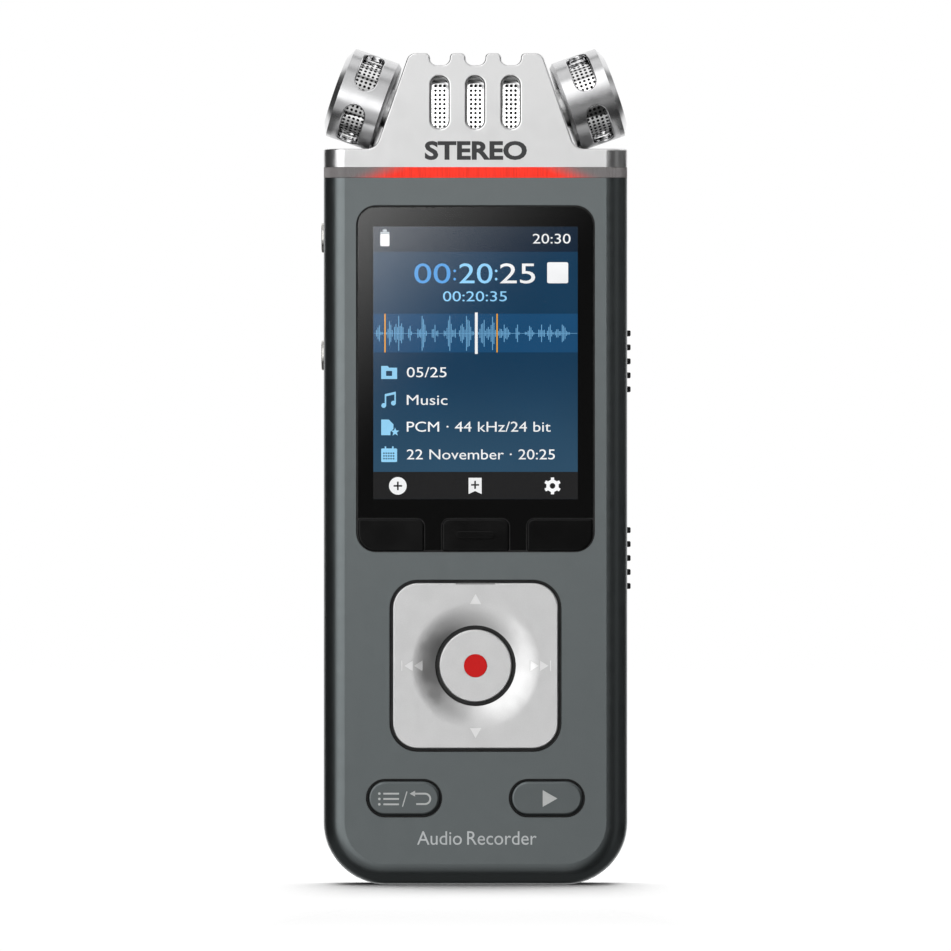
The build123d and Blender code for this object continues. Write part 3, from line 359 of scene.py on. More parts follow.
def ring_metal():
    """Fine-turned aluminium with polished bevels at both ends."""
    material = textured("ring_metal", srgb(212, 212, 213), 1.0, 0.25, 0.1, 0.0006, 0.02, 0.02)
    graph = Graph(material.node_tree)
    normal = graph.axes(graph.add("ShaderNodeNewGeometry").outputs["Normal"])
    side = graph.math("SIGN", graph.axes(graph.place())["X"])
    outward = graph.times(graph.times(normal["X"], side), math.cos(RING_TILT))
    along = graph.math("ADD", outward, graph.times(normal["Z"], math.sin(RING_TILT)))
    polished(material, graph.band(graph.absolute(along), 0.2, 0.9, 0.08), 0.1)
    return material


def mesh_metal():
    """Bright nickel-plated perforated sheet."""
    return textured("mesh_metal", srgb(238, 238, 238), 1.0, 0.09, 0.2, 0.0008, 0.03, 0.04)


def key_silver():
    """Silver lacquer with a fine metal flake."""
    return black_skirt_and_shade(textured("key_silver", srgb(208, 208, 208), 0.92, 0.33, 0.14, 0.002, 0.07, 0.03))


def mark_silver():
    """Bright floor of the marks cut into the pad."""
    return textured("mark_silver", srgb(240, 240, 240), 0.85, 0.4, 0.2, 0.001, 0.03, 0.03)


def record_red():
    """Satin red enamel."""
    material = textured("record_red", srgb(236, 32, 32), 0.0, 0.4, 0.3, 0.0008, 0.05, 0.03, 1.3)
    principled(material).inputs["Specular IOR Level"].default_value = 0.3
    return material


def panel_black():
    """Gloss black moulded keys, with flat faces up to their rounded edges."""
    material = textured("panel_black", srgb(13, 13, 13), 0.0, 0.06, 0.4, 0.0001, 0.1, 0.01, 1.45)
    principled(material).inputs["Specular IOR Level"].default_value = 0.2
    graph = Graph(material.node_tree)
    flat = graph.add("ShaderNodeNewGeometry").outputs["True Normal"]
    graph.plug(flat, material.node_tree.nodes["Bump"].inputs["Normal"])
    return material


def mask_black():
    """Black print on the back of the window, seen through the glass."""
    material = textured("mask_black", srgb(14, 14, 14), 0.0, 0.6, 1.5, 0.0001, 0.08, 0.05)
    principled(material).inputs["Specular IOR Level"].default_value = 0.0
    return material


def knob_black():
    """Black matte-moulded slide knobs."""
    return textured("knob_black", srgb(24, 24, 25), 0.0, 0.45, 0.15, 0.004, 0.12, 0.05)


def rubber_black():
    return textured("rubber_black", srgb(20, 20, 20), 0.0, 0.75, 0.25, 0.006, 0.15, 0.08)


def socket_black():
    """Glass-filled black plastic of sockets and small carriers."""
    return textured("socket_black", srgb(18, 18, 19), 0.0, 0.5, 0.2, 0.004, 0.15, 0.06)


def collar_steel():
    """Turned nickel-plated brass collar with fine rings from the tool."""
    material, graph, node = shader("collar_steel", srgb(214, 212, 208), 1.0, 0.22)
    wave = graph.waves(0.2368, wave_type="RINGS", rings_direction="X")
    wave.inputs["Distortion"].default_value = 0.4
    rings = graph.bump(wave.outputs["Fac"], 0.002)
    graph.fill(node, {"Normal": rings, "Roughness": graph.uneven(0.8, 0.18, 0.3)})
    return material


def brass():
    return textured("brass", srgb(206, 168, 96), 1.0, 0.28, 0.3, 0.003, 0.06, 0.05)


def screw_steel():
    return textured("screw_steel", srgb(120, 120, 124), 1.0, 0.32, 0.2, 0.003, 0.08, 0.05)


def tin_plate():
    """Folded tin plate with a faint rolled grain."""
    return textured("tin_plate", srgb(196, 198, 200), 1.0, 0.3, 0.25, 0.002, 0.05, 0.05, stretch=(1, 1, 12))


def capsule_metal():
    return textured("capsule_metal", srgb(186, 186, 188), 1.0, 0.3, 0.2, 0.001, 0.04, 0.04)


def dome_steel():
    return textured("dome_steel", srgb(202, 202, 200), 1.0, 0.2, 0.3, 0.001, 0.04, 0.04)


def battery_foil():
    return textured("battery_foil", srgb(180, 184, 190), 0.9, 0.42, 0.6, 0.008, 0.05, 0.06)


def foam_grey():
    return textured("foam_grey", srgb(70, 70, 72), 0.0, 0.9, 0.35, 0.06, 0.2, 0.05)


def film_amber():
    material = textured("film_amber", srgb(200, 120, 30), 0.0, 0.25, 0.5, 0.001, 0.08, 0.05)
    principled(material).inputs["Coat Weight"].default_value = 0.5
    return material


def board_green():
    """Solder mask over copper tracks."""
    material, graph, node = shader("board_green", srgb(16, 74, 44), 0.0, 0.35)
    brick = graph.add("ShaderNodeTexBrick")
    graph.fill(brick, {"Vector": graph.place(), "Scale": 1 / (2.4 * MM), "Mortar Size": 0.05})
    tracks = graph.mix(brick.outputs["Fac"], srgb(16, 74, 44), srgb(30, 104, 60))
    graph.fill(node, {"Base Color": tracks, "Normal": graph.bump(brick.outputs["Fac"], 0.01)})
    return material


def chip_black():
    return textured("chip_black", srgb(26, 26, 28), 0.0, 0.55, 0.12, 0.003, 0.12, 0.05)


def backlight_white():
    return textured("backlight_white", srgb(232, 234, 236), 0.0, 0.5, 0.4, 0.002, 0.03, 0.04)


def led_lens():
    """Diffusing red LED lens, lit."""
    material = textured("led_lens", srgb(230, 60, 50), 0.0, 0.35, 0.3, 0.002, 0.05, 0.04)
    lit = {"Emission Color": srgb(255, 70, 50), "Emission Strength": 1.0}
    Graph(material.node_tree).fill(principled(material), lit)
    return material


def speaker_cloth():
    """Fine black cloth behind the loudspeaker holes."""
    material, graph, node = shader("speaker_cloth", srgb(22, 22, 23), 0.0, 0.85)
    threads = [graph.waves(0.4932, bands_direction=way).outputs["Fac"] for way in ("X", "Z")]
    cloth = graph.times(*threads)
    color = graph.mix(cloth, srgb(10, 10, 10), srgb(48, 48, 50))
    graph.fill(node, {"Base Color": color, "Normal": graph.bump(cloth, 0.05)})
    return material


def window_clear():
    """Clear scratch-resistant cover with a faint moulded ripple."""
    material, graph, node = shader("window_clear", (1.0, 1.0, 1.0, 1.0), 0.0, 0.03, 1.45)
    graph.fill(node, {"Transmission Weight": 1.0, "Roughness": graph.uneven(6.0, 0.004, 0.014)})
    return material


def shine(graph, node, color, strength):
    """Makes a surface give light and reflect none."""
    graph.fill(node, {"Emission Color": color, "Emission Strength": strength, "Specular IOR Level": 0.0})


def lcd_face():
    """Display background: blue, lighter at the foot, with a status strip, a wave band and a key bar."""
    material, graph, node = shader("lcd_face", (0.0, 0.0, 0.0, 1.0), 0.0, 0.4, 1.2)
    axes = graph.axes(graph.place())
    across = graph.absolute(axes["X"])
    height = graph.math("DIVIDE", graph.math("SUBTRACT", axes["Z"], SCREEN_Z * MM), MM)
    blue = graph.mix(graph.ramp(height, -17.0, 2.0), srgb(40, 76, 102), srgb(6, 55, 86))
    strips = (
        (WAVE_STRIP, srgb(14, 73, 115)),
        (STATUS_STRIP, srgb(2, 30, 52)),
        (KEY_STRIP, srgb(27, 27, 28)),
    )
    for (low, high), color in strips:
        blue = graph.mix(graph.band(height, low, high, STRIP_SOFT), blue, color)
    half, tall = SCREEN_HALF
    inside = graph.ramp(across, half * MM, (half + SCREEN_SOFT) * MM, 1.0, 0.0)
    lit = graph.times(graph.band(height, -tall, tall, SCREEN_SOFT), inside)
    shine(graph, node, graph.mix(lit, (0.0, 0.0, 0.0, 1.0), blue), graph.uneven(9.0, 0.97, 1.03, 1.0))
    return material


def glow(name, color):
    """A mark on the display: light of one colour with the backlight's slight unevenness."""
    material, graph, node = shader(name, (0.0, 0.0, 0.0, 1.0), 0.0, 0.5, 1.2)
    shine(graph, node, color, graph.uneven(5.0, 0.95, 1.05, 1.0))
    return material


def print_ink(name, color, metallic=0.0):
    """Pad-printed ink, slightly uneven."""
    return textured(name, color, metallic, 0.42, 0.25, 0.002, 0.06, 0.05)


def band_lens():
    """Smoky ribbed lens, lit red from behind in the middle and clear at its ends."""
    material, graph, node = shader("band_lens", srgb(112, 112, 112), 0.0, 0.28)
    axes = graph.axes(graph.place())
    across = graph.math("DIVIDE", graph.absolute(axes["X"]), MM)
    height = graph.math("DIVIDE", axes["Z"], MM)
    base, top = (corner.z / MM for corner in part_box("light_band"))
    distance = graph.math("SUBTRACT", across, graph.ramp(height, base, top, *BAND_LIT))
    lit = graph.math("POWER", graph.ramp(distance, *BAND_FADE, 1.0, 0.0), 1.4)
    front = graph.ramp(axes["Y"], -8.0 * MM, 4.0 * MM, 1.0, 0.25)
    ribs = graph.uneven(0.25, 0.85, 1.1, 2.0, (1, 1, 20))
    strength = graph.times(graph.times(lit, front), ribs)
    graph.fill(node, {"Emission Color": srgb(247, 48, 26), "Emission Strength": strength})
    graph.plug(graph.mix(lit, srgb(150, 146, 146), srgb(60, 8, 6)), node.inputs["Base Color"])
    return material


def floor_white():
    """Matte card at the object's foot, turning to plain white light beside it and far away."""
    card = (FLOOR_GREY, FLOOR_GREY, FLOOR_GREY, 1.0)
    material, graph, node = shader("floor_white", card, 0.0, 0.9)
    axes = graph.axes(graph.place())
    squares = [graph.math("POWER", axes[name], 2.0) for name in ("X", "Y")]
    radius = graph.math("SQRT", graph.math("ADD", *squares))
    far = graph.ramp(radius, *(limit * MM for limit in FLOOR_CLEAR))
    beside = graph.ramp(graph.absolute(axes["X"]), *(limit * MM for limit in FLOOR_BESIDE))
    plain = graph.math("MAXIMUM", far, beside)
    graph.plug(graph.mix(plain, card, (0.0, 0.0, 0.0, 1.0)), node.inputs["Base Color"])
    shine(graph, node, (1.0, 1.0, 1.0, 1.0), graph.times(plain, FLOOR_WHITE))
    return material


# Mesh helpers

def in_scene(name, data):
    """A new object in the scene."""
    item = bpy.data.objects.new(name, data)
    bpy.context.scene.collection.objects.link(item)
    return item


def new_piece(name, mesh, material, body):
    """Puts a mesh in the scene as a piece that rides on a body."""
    piece = in_scene(name, mesh)
    mesh.materials.clear()
    mesh.materials.append(material)
    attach(piece, body)
    return piece


def clean_mesh(name, points, faces, smooth=False, angle=30.0):
    """A closed mesh from points in millimetres, with doubles merged and normals outward."""
    mesh = bpy.data.meshes.new(name)
    mesh.from_pydata([Vector(p) * MM for p in points], [], faces)
    work = bmesh.new()
    work.from_mesh(mesh)
    bmesh.ops.remove_doubles(work, verts=work.verts, dist=1e-7)
    bmesh.ops.recalc_face_normals(work, faces=work.faces)
    for face in work.faces:
        face.smooth = smooth
    for edge in work.edges:
        edge.smooth = smooth and (edge.calc_face_angle(0.0) < math.radians(angle))
    work.to_mesh(mesh)
    work.free()
    return mesh


def flat_mesh(name, curve, place, thickness):
    """The filled curve as a thin closed plate.

    place maps a point of the curve to X, Z and the front's Y in millimetres.
    """
    curve.extrude = 1.0
    source = in_scene(name + "_curve", curve)
    bpy.context.view_layer.update()
    evaluated = source.evaluated_get(bpy.context.evaluated_depsgraph_get())
    raw = bpy.data.meshes.new_from_object(evaluated)
    points = []
    for vertex in raw.vertices:
        x, z, front = place(vertex.co.x, vertex.co.y)
        points.append((x, front if vertex.co.z > 0 else front + thickness, z))
    faces = [tuple(face.vertices) for face in raw.polygons]
    bpy.data.objects.remove(source)
    bpy.data.meshes.remove(raw)
    bpy.data.curves.remove(curve)
    return clean_mesh(name, points, faces)


def plate(name, outlines, material, body, front, middle=(0.0, 0.0), thickness=INK + SINK):
    """A thin plate in the XZ plane from closed outlines round middle; an outline inside another is a hole."""
    curve = bpy.data.curves.new(name, "CURVE")
    curve.dimensions = "2D"
    curve.fill_mode = "BOTH"
    for outline in outlines:
        spline = curve.splines.new("POLY")
        spline.points.add(len(outline) - 1)
        for point, (x, z) in zip(spline.points, outline):
            point.co = (x, z, 0.0, 1.0)
        spline.use_cyclic_u = True

    def place(x, z):
        return x + middle[0], z + middle[1], front

    return new_piece(name, flat_mesh(name, curve, place, thickness), material, body)


def lettering(name, text, material, body, front, left, base, height, width=None, bold=0.0):
    """Plain letters in the built-in font, standing on base, height tall and, if it is given, width wide."""
    curve = bpy.data.curves.new(name, "FONT")
    curve.body = text
    curve.resolution_u = 4
    curve.offset = bold
    cap = 0.729 * curve.size  # height of the built-in font's capitals
    probe = in_scene(name + "_probe", curve)
    bpy.context.view_layer.update()
    low, high = (Vector(probe.bound_box[i]) for i in (0, 6))
    bpy.data.objects.remove(probe)
    scale = height / cap
    stretch = width / (high.x - low.x) if width else scale

    def place(x, z):
        return left + (x - low.x) * stretch, base + z * scale, front

    new_piece(name, flat_mesh(name, curve, place, INK + SINK), material, body)


def circle(x, z, radius, points=32):
    turn = 2 * math.pi / points
    return [(x + radius * math.cos(i * turn), z + radius * math.sin(i * turn)) for i in range(points)]


def box_outline(x0, x1, z0, z1, radius=0.0, steps=5):
    """A rectangle with round corners."""
    if not radius:
        return [(x0, z0), (x1, z0), (x1, z1), (x0, z1)]
    points = []
    corners = ((x1, z1, 0), (x0, z1, 1), (x0, z0, 2), (x1, z0, 3))
    for x, z, quarter in corners:
        cx = x - radius if x == x1 else x + radius
        cz = z - radius if z == z1 else z + radius
        for i in range(steps + 1):
            angle = (quarter + i / steps) * math.pi / 2
            points.append((cx + radius * math.cos(angle), cz + radius * math.sin(angle)))
    return points


def plus(x, z, reach, width):
    half = width / 2
    arm = [(half, half), (half, reach), (-half, reach), (-half, half)]
    points = []
    for quarter in range(4):
        cosine, sine = round(math.cos(quarter * math.pi / 2)), round(math.sin(quarter * math.pi / 2))
        for px, pz in arm[:3]:
            points.append((x + px * cosine - pz * sine, z + px * sine + pz * cosine))
    return points


def star(x, z, outer, inner, tips=5):
    points = []
    for i in range(2 * tips):
        radius = outer if i % 2 == 0 else inner
        angle = math.pi / 2 + i * math.pi / tips
        points.append((x + radius * math.cos(angle), z + radius * math.sin(angle)))
    return points


def gear(x, z, outer, inner, teeth=6, share=0.22):
    """Outline of a toothed wheel with flat tips."""
    points = []
    for i in range(teeth):
        middle = math.pi / 2 + i * 2 * math.pi / teeth
        for offset, radius in ((-0.32, inner), (-share, outer), (share, outer), (0.32, inner)):
            angle = middle + offset * math.pi / teeth * 1.6
            points.append((x + radius * math.cos(angle), z + radius * math.sin(angle)))
    return points


def stroke(points, width):
    """Outline of a line of that width along points."""
    left, right = [], []
    for i, point in enumerate(points):
        before = Vector(points[max(i - 1, 0)])
        after = Vector(points[min(i + 1, len(points) - 1)])
        along = (after - before).normalized()
        side = Vector((-along.y, along.x)) * width / 2
        left.append(tuple(Vector(point) + side))
        right.append(tuple(Vector(point) - side))
    return left + right[::-1]


# Perforated sheets

HOLE_CELL = ((-1, -1), (0, -1), (1, -1), (1, 0), (1, 1), (0, 1), (-1, 1), (-1, 0))


def perforated(name, columns, rows, pitch, place, ring=False, punched=None):
    """A punched sheet. place maps sheet coordinates u, v and a side (0 or 1) to a point in millimetres.

    Every cell has a hole, unless punched says which columns and rows do.
    """
    pitch_u, pitch_v = pitch
    points, faces = [], []

    def add(u, v, side):
        points.append(place(u, v, side))
        return len(points) - 1

    for column in range(columns):
        for row in range(rows):
            u0, v0 = (column + 0.5) * pitch_u, (row + 0.5) * pitch_v
            rims = []
            for side in (0, 1):
                rims.append([add(u0 + a * pitch_u / 2, v0 + b * pitch_v / 2, side) for a, b in HOLE_CELL])
            hole = punched is None or punched(column, row)
            if hole:
                turned = [Vector((a, b)).normalized() * HOLE_RADIUS for a, b in HOLE_CELL]
                holes = [[add(u0 + p.x, v0 + p.y, side) for p in turned] for side in (0, 1)]
            else:
                faces.append(tuple(rims[0]))
                faces.append(tuple(rims[1][::-1]))
            ends = (row == 0, column == columns - 1, row == rows - 1, column == 0)
            for k in range(8):
                n = (k + 1) % 8
                if hole:
                    faces.append((rims[0][k], rims[0][n], holes[0][n], holes[0][k]))
                    faces.append((rims[1][n], rims[1][k], holes[1][k], holes[1][n]))
                    faces.append((holes[0][k], holes[0][n], holes[1][n], holes[1][k]))
                around = ring and k in (2, 3, 6, 7)
                if ends[k // 2] and not around:
                    faces.append((rims[0][n], rims[0][k], rims[1][k], rims[1][n]))
    return clean_mesh(name, points, faces, smooth=True, angle=40.0)


def center_mesh(material):
    """Inverted U of perforated sheet behind the head's slots."""
    low, high = (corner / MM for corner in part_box("center_mesh"))
    corner = GRILLE_BEND - SHEET
    straight = high.z - low.z - GRILLE_BEND
    top = high.y - low.y - 2 * GRILLE_BEND
    bend = corner * math.pi / 2
    length = 2 * straight + 2 * bend + top
    rows = round(length / HOLE_PITCH)
    left = -GRILLE_COLUMNS * HOLE_PITCH / 2
    near, far, over = low.y + GRILLE_BEND, high.y - GRILLE_BEND, high.z - GRILLE_BEND

    def place(u, v, side):
        radius = corner + SHEET * side
        x = left + u
        if v <= straight:
            return x, low.y + SHEET * (1 - side), low.z + v
        if v <= straight + bend:
            angle = (v - straight) / corner
            return x, near - radius * math.cos(angle), over + radius * math.sin(angle)
        if v <= straight + bend + top:
            return x, near + v - straight - bend, high.z - SHEET * (1 - side)
        if v <= straight + 2 * bend + top:
            angle = (v - straight - bend - top) / corner
            return x, far + radius * math.sin(angle), over + radius * math.cos(angle)
        return x, high.y - SHEET * (1 - side), low.z + length - v

    def punched(column, row):
        half = SLOT_COLUMNS // 2
        from_slot = (column - GRILLE_COLUMNS // 2 + half) % SLOT_COLUMNS - half
        height = place((column + 0.5) * HOLE_PITCH, (row + 0.5) * length / rows, 0)[2]
        return abs(from_slot) <= 1 and PUNCHED[0] < height < PUNCHED[1]

    pitch = (HOLE_PITCH, length / rows)
    mesh = perforated("center_grille", GRILLE_COLUMNS, rows, pitch, place, False, punched)
    piece = new_piece("center_grille", mesh, material, "root")
    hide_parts("center_mesh")


def ring_matrix(side):
    """Frame of a ring microphone: its own Z is the ring's axis, pointing outward."""
    level = math.cos(RING_TOE)
    axis = Vector((side * math.cos(RING_TILT) * level, math.sin(RING_TOE), math.sin(RING_TILT) * level))
    across = axis.cross(Vector((0.0, 0.0, 1.0))).normalized()
    third = axis.cross(across)
    matrix = Matrix((across, third, axis)).transposed().to_4x4()
    matrix.translation = Vector((side * RING_CENTRE[0], RING_CENTRE[1], RING_CENTRE[2]))
    return matrix


def ring_mesh(side, label, material):
    """Perforated sleeve inside a ring microphone."""
    radius, start, end = RING_MESH
    matrix = ring_matrix(side)
    columns = round(2 * math.pi * (radius + SHEET) / HOLE_PITCH)
    rows = round((end - start) / HOLE_PITCH)
    pitch = (2 * math.pi * (radius + SHEET) / columns, (end - start) / rows)

    def place(u, v, wall):
        angle = u / (radius + SHEET)
        reach = radius + SHEET * wall
        return matrix @ Vector((reach * math.cos(angle), reach * math.sin(angle), start + v))

    mesh = perforated("ring_grille_" + label, columns, rows, pitch, place, ring=True)
    piece = new_piece("ring_grille_" + label, mesh, material, "root")
    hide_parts("mic_mesh_" + label)


# Light band

def band_path(high, steps_per_mm):
    """Points and outward directions round the band's outer edge, evenly spaced."""
    half_x, half_y = high.x - BAND_RADIUS, high.y - BAND_RADIUS
    corners = ((half_x, -half_y, 0), (half_x, half_y, 1), (-half_x, half_y, 2), (-half_x, -half_y, 3))
    points = []
    for x, y, quarter in corners:
        count = max(4, round(BAND_RADIUS * math.pi / 2 * steps_per_mm))
        for i in range(count):
            angle = (quarter + i / count - 1) * math.pi / 2
            out = Vector((math.cos(angle), math.sin(angle)))
            points.append((Vector((x, y)) + out * BAND_RADIUS, out))
        angle = quarter * math.pi / 2
        out = Vector((math.cos(angle), math.sin(angle)))
        run = 2 * half_y if quarter in (0, 2) else 2 * half_x
        along = Vector((-out.y, out.x))
        count = max(4, round(run * steps_per_mm))
        for i in range(count):
            points.append((Vector((x, y)) + out * BAND_RADIUS + along * run * i / count, out))
    return points


def light_band(material):
    """Lens with fine upright ribs all round, replacing the plain CAD band."""
    low, high = (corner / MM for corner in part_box("light_band"))
    path = band_path(high, len(RIB_STEPS) * BAND_RIBS / BAND_LENGTH)
    points, faces = [], []
    for i, (spot, out) in enumerate(path):
        rib = RIB_DEPTH * RIB_STEPS[i % len(RIB_STEPS)]
        profile = (
            (BAND_WALL, low.z), (BAND_EDGE + rib, low.z), (rib, low.z + BAND_EDGE),
            (rib, high.z - BAND_EDGE), (BAND_EDGE + rib, high.z), (BAND_WALL, high.z),
        )
        for inset, z in profile:
            place = spot - out * inset
            points.append((place.x, place.y, z))
    sides = len(profile)
    for i in range(len(path)):
        j = (i + 1) % len(path)
        for k in range(sides):
            n = (k + 1) % sides
            faces.append((i * sides + k, j * sides + k, j * sides + n, i * sides + n))
    mesh = clean_mesh("ribbed_band", points, faces, smooth=True, angle=25.0)
    piece = new_piece("ribbed_band", mesh, material, "root")
    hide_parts("light_band")


# Display graphics, placed from the middle of the lit area

def screen_plate(name, outlines, material, layer=0):
    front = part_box("lcd_panel")[0].y / MM - INK * (1 + layer)
    plate(name, outlines, material, "root", front, (0.0, SCREEN_Z))


def screen_text(name, text, material, left, base, height, width=None):
    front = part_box("lcd_panel")[0].y / MM - INK
    lettering(name, text, material, "root", front, left, SCREEN_Z + base, height, width)


def status_strip(white, grey):
    """Battery and clock."""
    screen_plate("screen_battery", [box_outline(-14.28, -12.89, 17.49, 19.32, 0.15)], white)
    screen_plate("screen_battery_cap", [box_outline(-14.28, -12.89, 19.36, 19.62, 0.05),
                                        box_outline(-13.89, -13.29, 19.66, 20.0, 0.05)], grey)
    screen_text("screen_clock", "20:30", white, 8.58, 17.9, 1.54, 5.67)


def timer(deep, pale, white):
    """Large running time, the stop mark and the total time."""
    base, height = 11.94, 3.15
    screen_text("screen_hours", "00", deep, -9.18, base, height, 5.44)
    screen_text("screen_minutes", "20", pale, -2.45, base, height, 5.0)
    screen_text("screen_seconds", "25", white, 3.66, base, height, 5.28)
    for name, x in (("screen_colon_left", -3.12), ("screen_colon_right", 3.1)):
        dots = [circle(x, base + 0.62, 0.2, 16), circle(x, base + 1.85, 0.2, 16)]
        screen_plate(name, dots, deep if x < 0 else pale)
    screen_plate("screen_stop", [box_outline(10.74, 13.89, base, base + height, 0.25)], white)
    screen_text("screen_total", "00:20:35", pale, -4.88, 9.24, 1.59, 9.58)


# Bursts of speech along the wave band: middle, half width and half height
BURSTS = (
    (-14.4, 0.5, 1.2), (-12.9, 0.45, 1.8), (-11.5, 0.65, 2.6), (-9.8, 0.3, 1.1), (-8.0, 0.55, 2.6),
    (-6.07, 0.45, 1.3), (-3.85, 0.9, 2.6), (-1.35, 1.0, 2.6), (1.3, 0.75, 2.0), (2.55, 0.35, 2.5),
    (4.3, 0.8, 1.3), (6.3, 0.3, 1.3), (8.1, 0.65, 1.1), (9.9, 0.35, 1.3), (11.2, 0.4, 1.3),
    (13.0, 0.95, 1.3),
)
WAVE_MIDDLE = 4.43
WAVE_PITCH = 0.21


def waveform(pale, orange, white):
    """Bars of the recorded sound, two bookmarks and the playing position."""
    bars = [box_outline(-15.25, 15.25, WAVE_MIDDLE - 0.03, WAVE_MIDDLE + 0.03)]
    for number, (middle, half, peak) in enumerate(BURSTS):
        count = max(1, round(half / WAVE_PITCH))
        for i in range(-count, count + 1):
            share = 1 - abs(i) / (count + 1)
            lively = 0.62 + 0.38 * math.sin(5.1 * i + 2.3 * number)
            reach = max(0.18, peak * share ** 0.7 * lively) if i else peak
            x = middle + i * WAVE_PITCH
            bars.append(box_outline(x - 0.06, x + 0.06, WAVE_MIDDLE - reach, WAVE_MIDDLE + reach))
    screen_plate("screen_wave_line", bars[:1], pale)
    screen_plate("screen_wave", bars[1:], pale, 1)
    for name, x in (("screen_bookmark_first", -13.56), ("screen_bookmark_second", 3.23)):
        screen_plate(name, [box_outline(x - 0.09, x + 0.09, *WAVE_STRIP)], orange, 2)
    screen_plate("screen_position", [box_outline(-0.09, 0.33, 1.34, 7.56, 0.05)], white, 3)


def rows_of_facts(sky, white):
    """Four rows: folder, kind of sound, file format and date, each with its icon."""
    rows = (
        ("screen_row_folder", "05/25", -2.14, 5.96), ("screen_row_kind", "Music", -6.28, 6.1),
        ("screen_row_format", "PCM · 44 kHz/24 bit", -10.3, 21.57),
        ("screen_row_date", "22 November · 20:25", -14.45, 22.2),
    )
    for name, text, base, width in rows:
        screen_text(name, text, white, -10.3, base, 1.58, width)
    folder = [(-14.13, -2.41), (-11.75, -2.41), (-11.75, -0.72), (-12.95, -0.72),
              (-13.15, -0.45), (-14.13, -0.45)]
    screen_plate("screen_icon_folder", [folder, box_outline(-13.4, -12.5, -1.95, -1.2, 0.08)], sky)
    note = [circle(-13.75, -6.38, 0.36, 20), circle(-12.3, -6.02, 0.36, 20)]
    stems = [(-13.6, -6.38), (-13.38, -6.38), (-13.38, -5.0), (-12.15, -4.72), (-12.15, -6.0),
             (-11.94, -6.0), (-11.94, -4.3), (-13.6, -4.68)]
    screen_plate("screen_icon_note_heads", note, sky)
    screen_plate("screen_icon_note_stems", [stems], sky, 1)
    sheet = [(-14.13, -10.83), (-12.75, -10.83), (-12.75, -10.3), (-12.3, -9.9), (-12.3, -9.2),
             (-13.0, -8.49), (-14.13, -8.49)]
    screen_plate("screen_icon_file", [sheet], sky)
    screen_plate("screen_icon_star", [star(-12.05, -10.35, 0.66, 0.28)], sky, 1)
    days = [box_outline(-14.13, -11.75, -14.86, -12.82, 0.15)]
    for column in range(5):
        for row in range(3):
            x, z = -13.83 + 0.36 * column, -14.45 + 0.4 * row
            days.append(box_outline(x, x + 0.22, z, z + 0.22))
    screen_plate("screen_icon_calendar", days, sky)
    rings = [box_outline(x, x + 0.22, -12.95, -12.5, 0.05) for x in (-13.6, -12.5)]
    screen_plate("screen_icon_calendar_rings", rings, sky, 1)


def key_bar(white):
    """Icons above the soft keys: add, bookmark and settings."""
    middle = -18.43
    disc = circle(-11.64, middle, 1.32, 40)
    screen_plate("screen_key_add", [disc, plus(-11.64, middle, 0.64, 0.25)], white)
    flag = [(-1.04, -19.65), (-0.06, -19.2), (0.92, -19.65), (0.92, -17.22), (-1.04, -17.22)]
    screen_plate("screen_key_bookmark", [flag, plus(-0.06, middle + 0.15, 0.6, 0.25)], white)
    wheel = gear(11.54, middle, 1.28, 0.95)
    screen_plate("screen_key_settings", [wheel, circle(11.54, middle, 0.42, 24)], white)


def display():
    white = glow("screen_white", srgb(250, 251, 252))
    grey = glow("screen_grey", srgb(196, 204, 210))
    deep = glow("screen_deep_blue", srgb(84, 164, 234))
    pale = glow("screen_pale_blue", srgb(146, 212, 254))
    wave = glow("screen_wave_blue", srgb(112, 172, 214))
    sky = glow("screen_sky_blue", srgb(150, 214, 250))
    orange = glow("screen_orange", srgb(250, 172, 20))
    status_strip(white, grey)
    timer(deep, pale, white)
    waveform(wave, orange, white)
    rows_of_facts(sky, white)
    key_bar(white)


# Printed and cut marks

def case_print():
    """Plain words on the head and the case."""
    dark = print_ink("ink_dark", srgb(58, 58, 60))
    light = print_ink("ink_light", srgb(192, 195, 196), 0.9)
    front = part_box("front_cover")[0].y / MM - INK
    lettering("print_head", "STEREO", dark, "root", front, -7.6, 108.72, 2.7, 15.3, 0.035)
    lettering("print_case", "Audio", light, "root", front, -8.75, 6.0, 2.15, 6.7)
    lettering("print_case_second", "Recorder", light, "root", front, -1.25, 6.0, 2.15, 10.4)


def drape(piece, node, front, proud):
    """Moves a plate's points in Y so that it follows a CAD node's front, proud of it."""
    work = bmesh.new()
    work.from_mesh(piece.data)
    bmesh.ops.subdivide_edges(work, edges=work.edges, cuts=3, use_grid_fill=True)
    bmesh.ops.triangulate(work, faces=work.faces)
    work.to_mesh(piece.data)
    work.free()
    depsgraph = bpy.context.evaluated_depsgraph_get()
    tree = BVHTree.FromObject(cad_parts[node], depsgraph)
    for vertex in piece.data.vertices:
        hit = tree.ray_cast(Vector((vertex.co.x, -0.05, vertex.co.z)), Vector((0, 1, 0)))[0]
        if hit is not None:
            vertex.co.y += hit.y - proud * MM - front * MM
    piece.data.update()


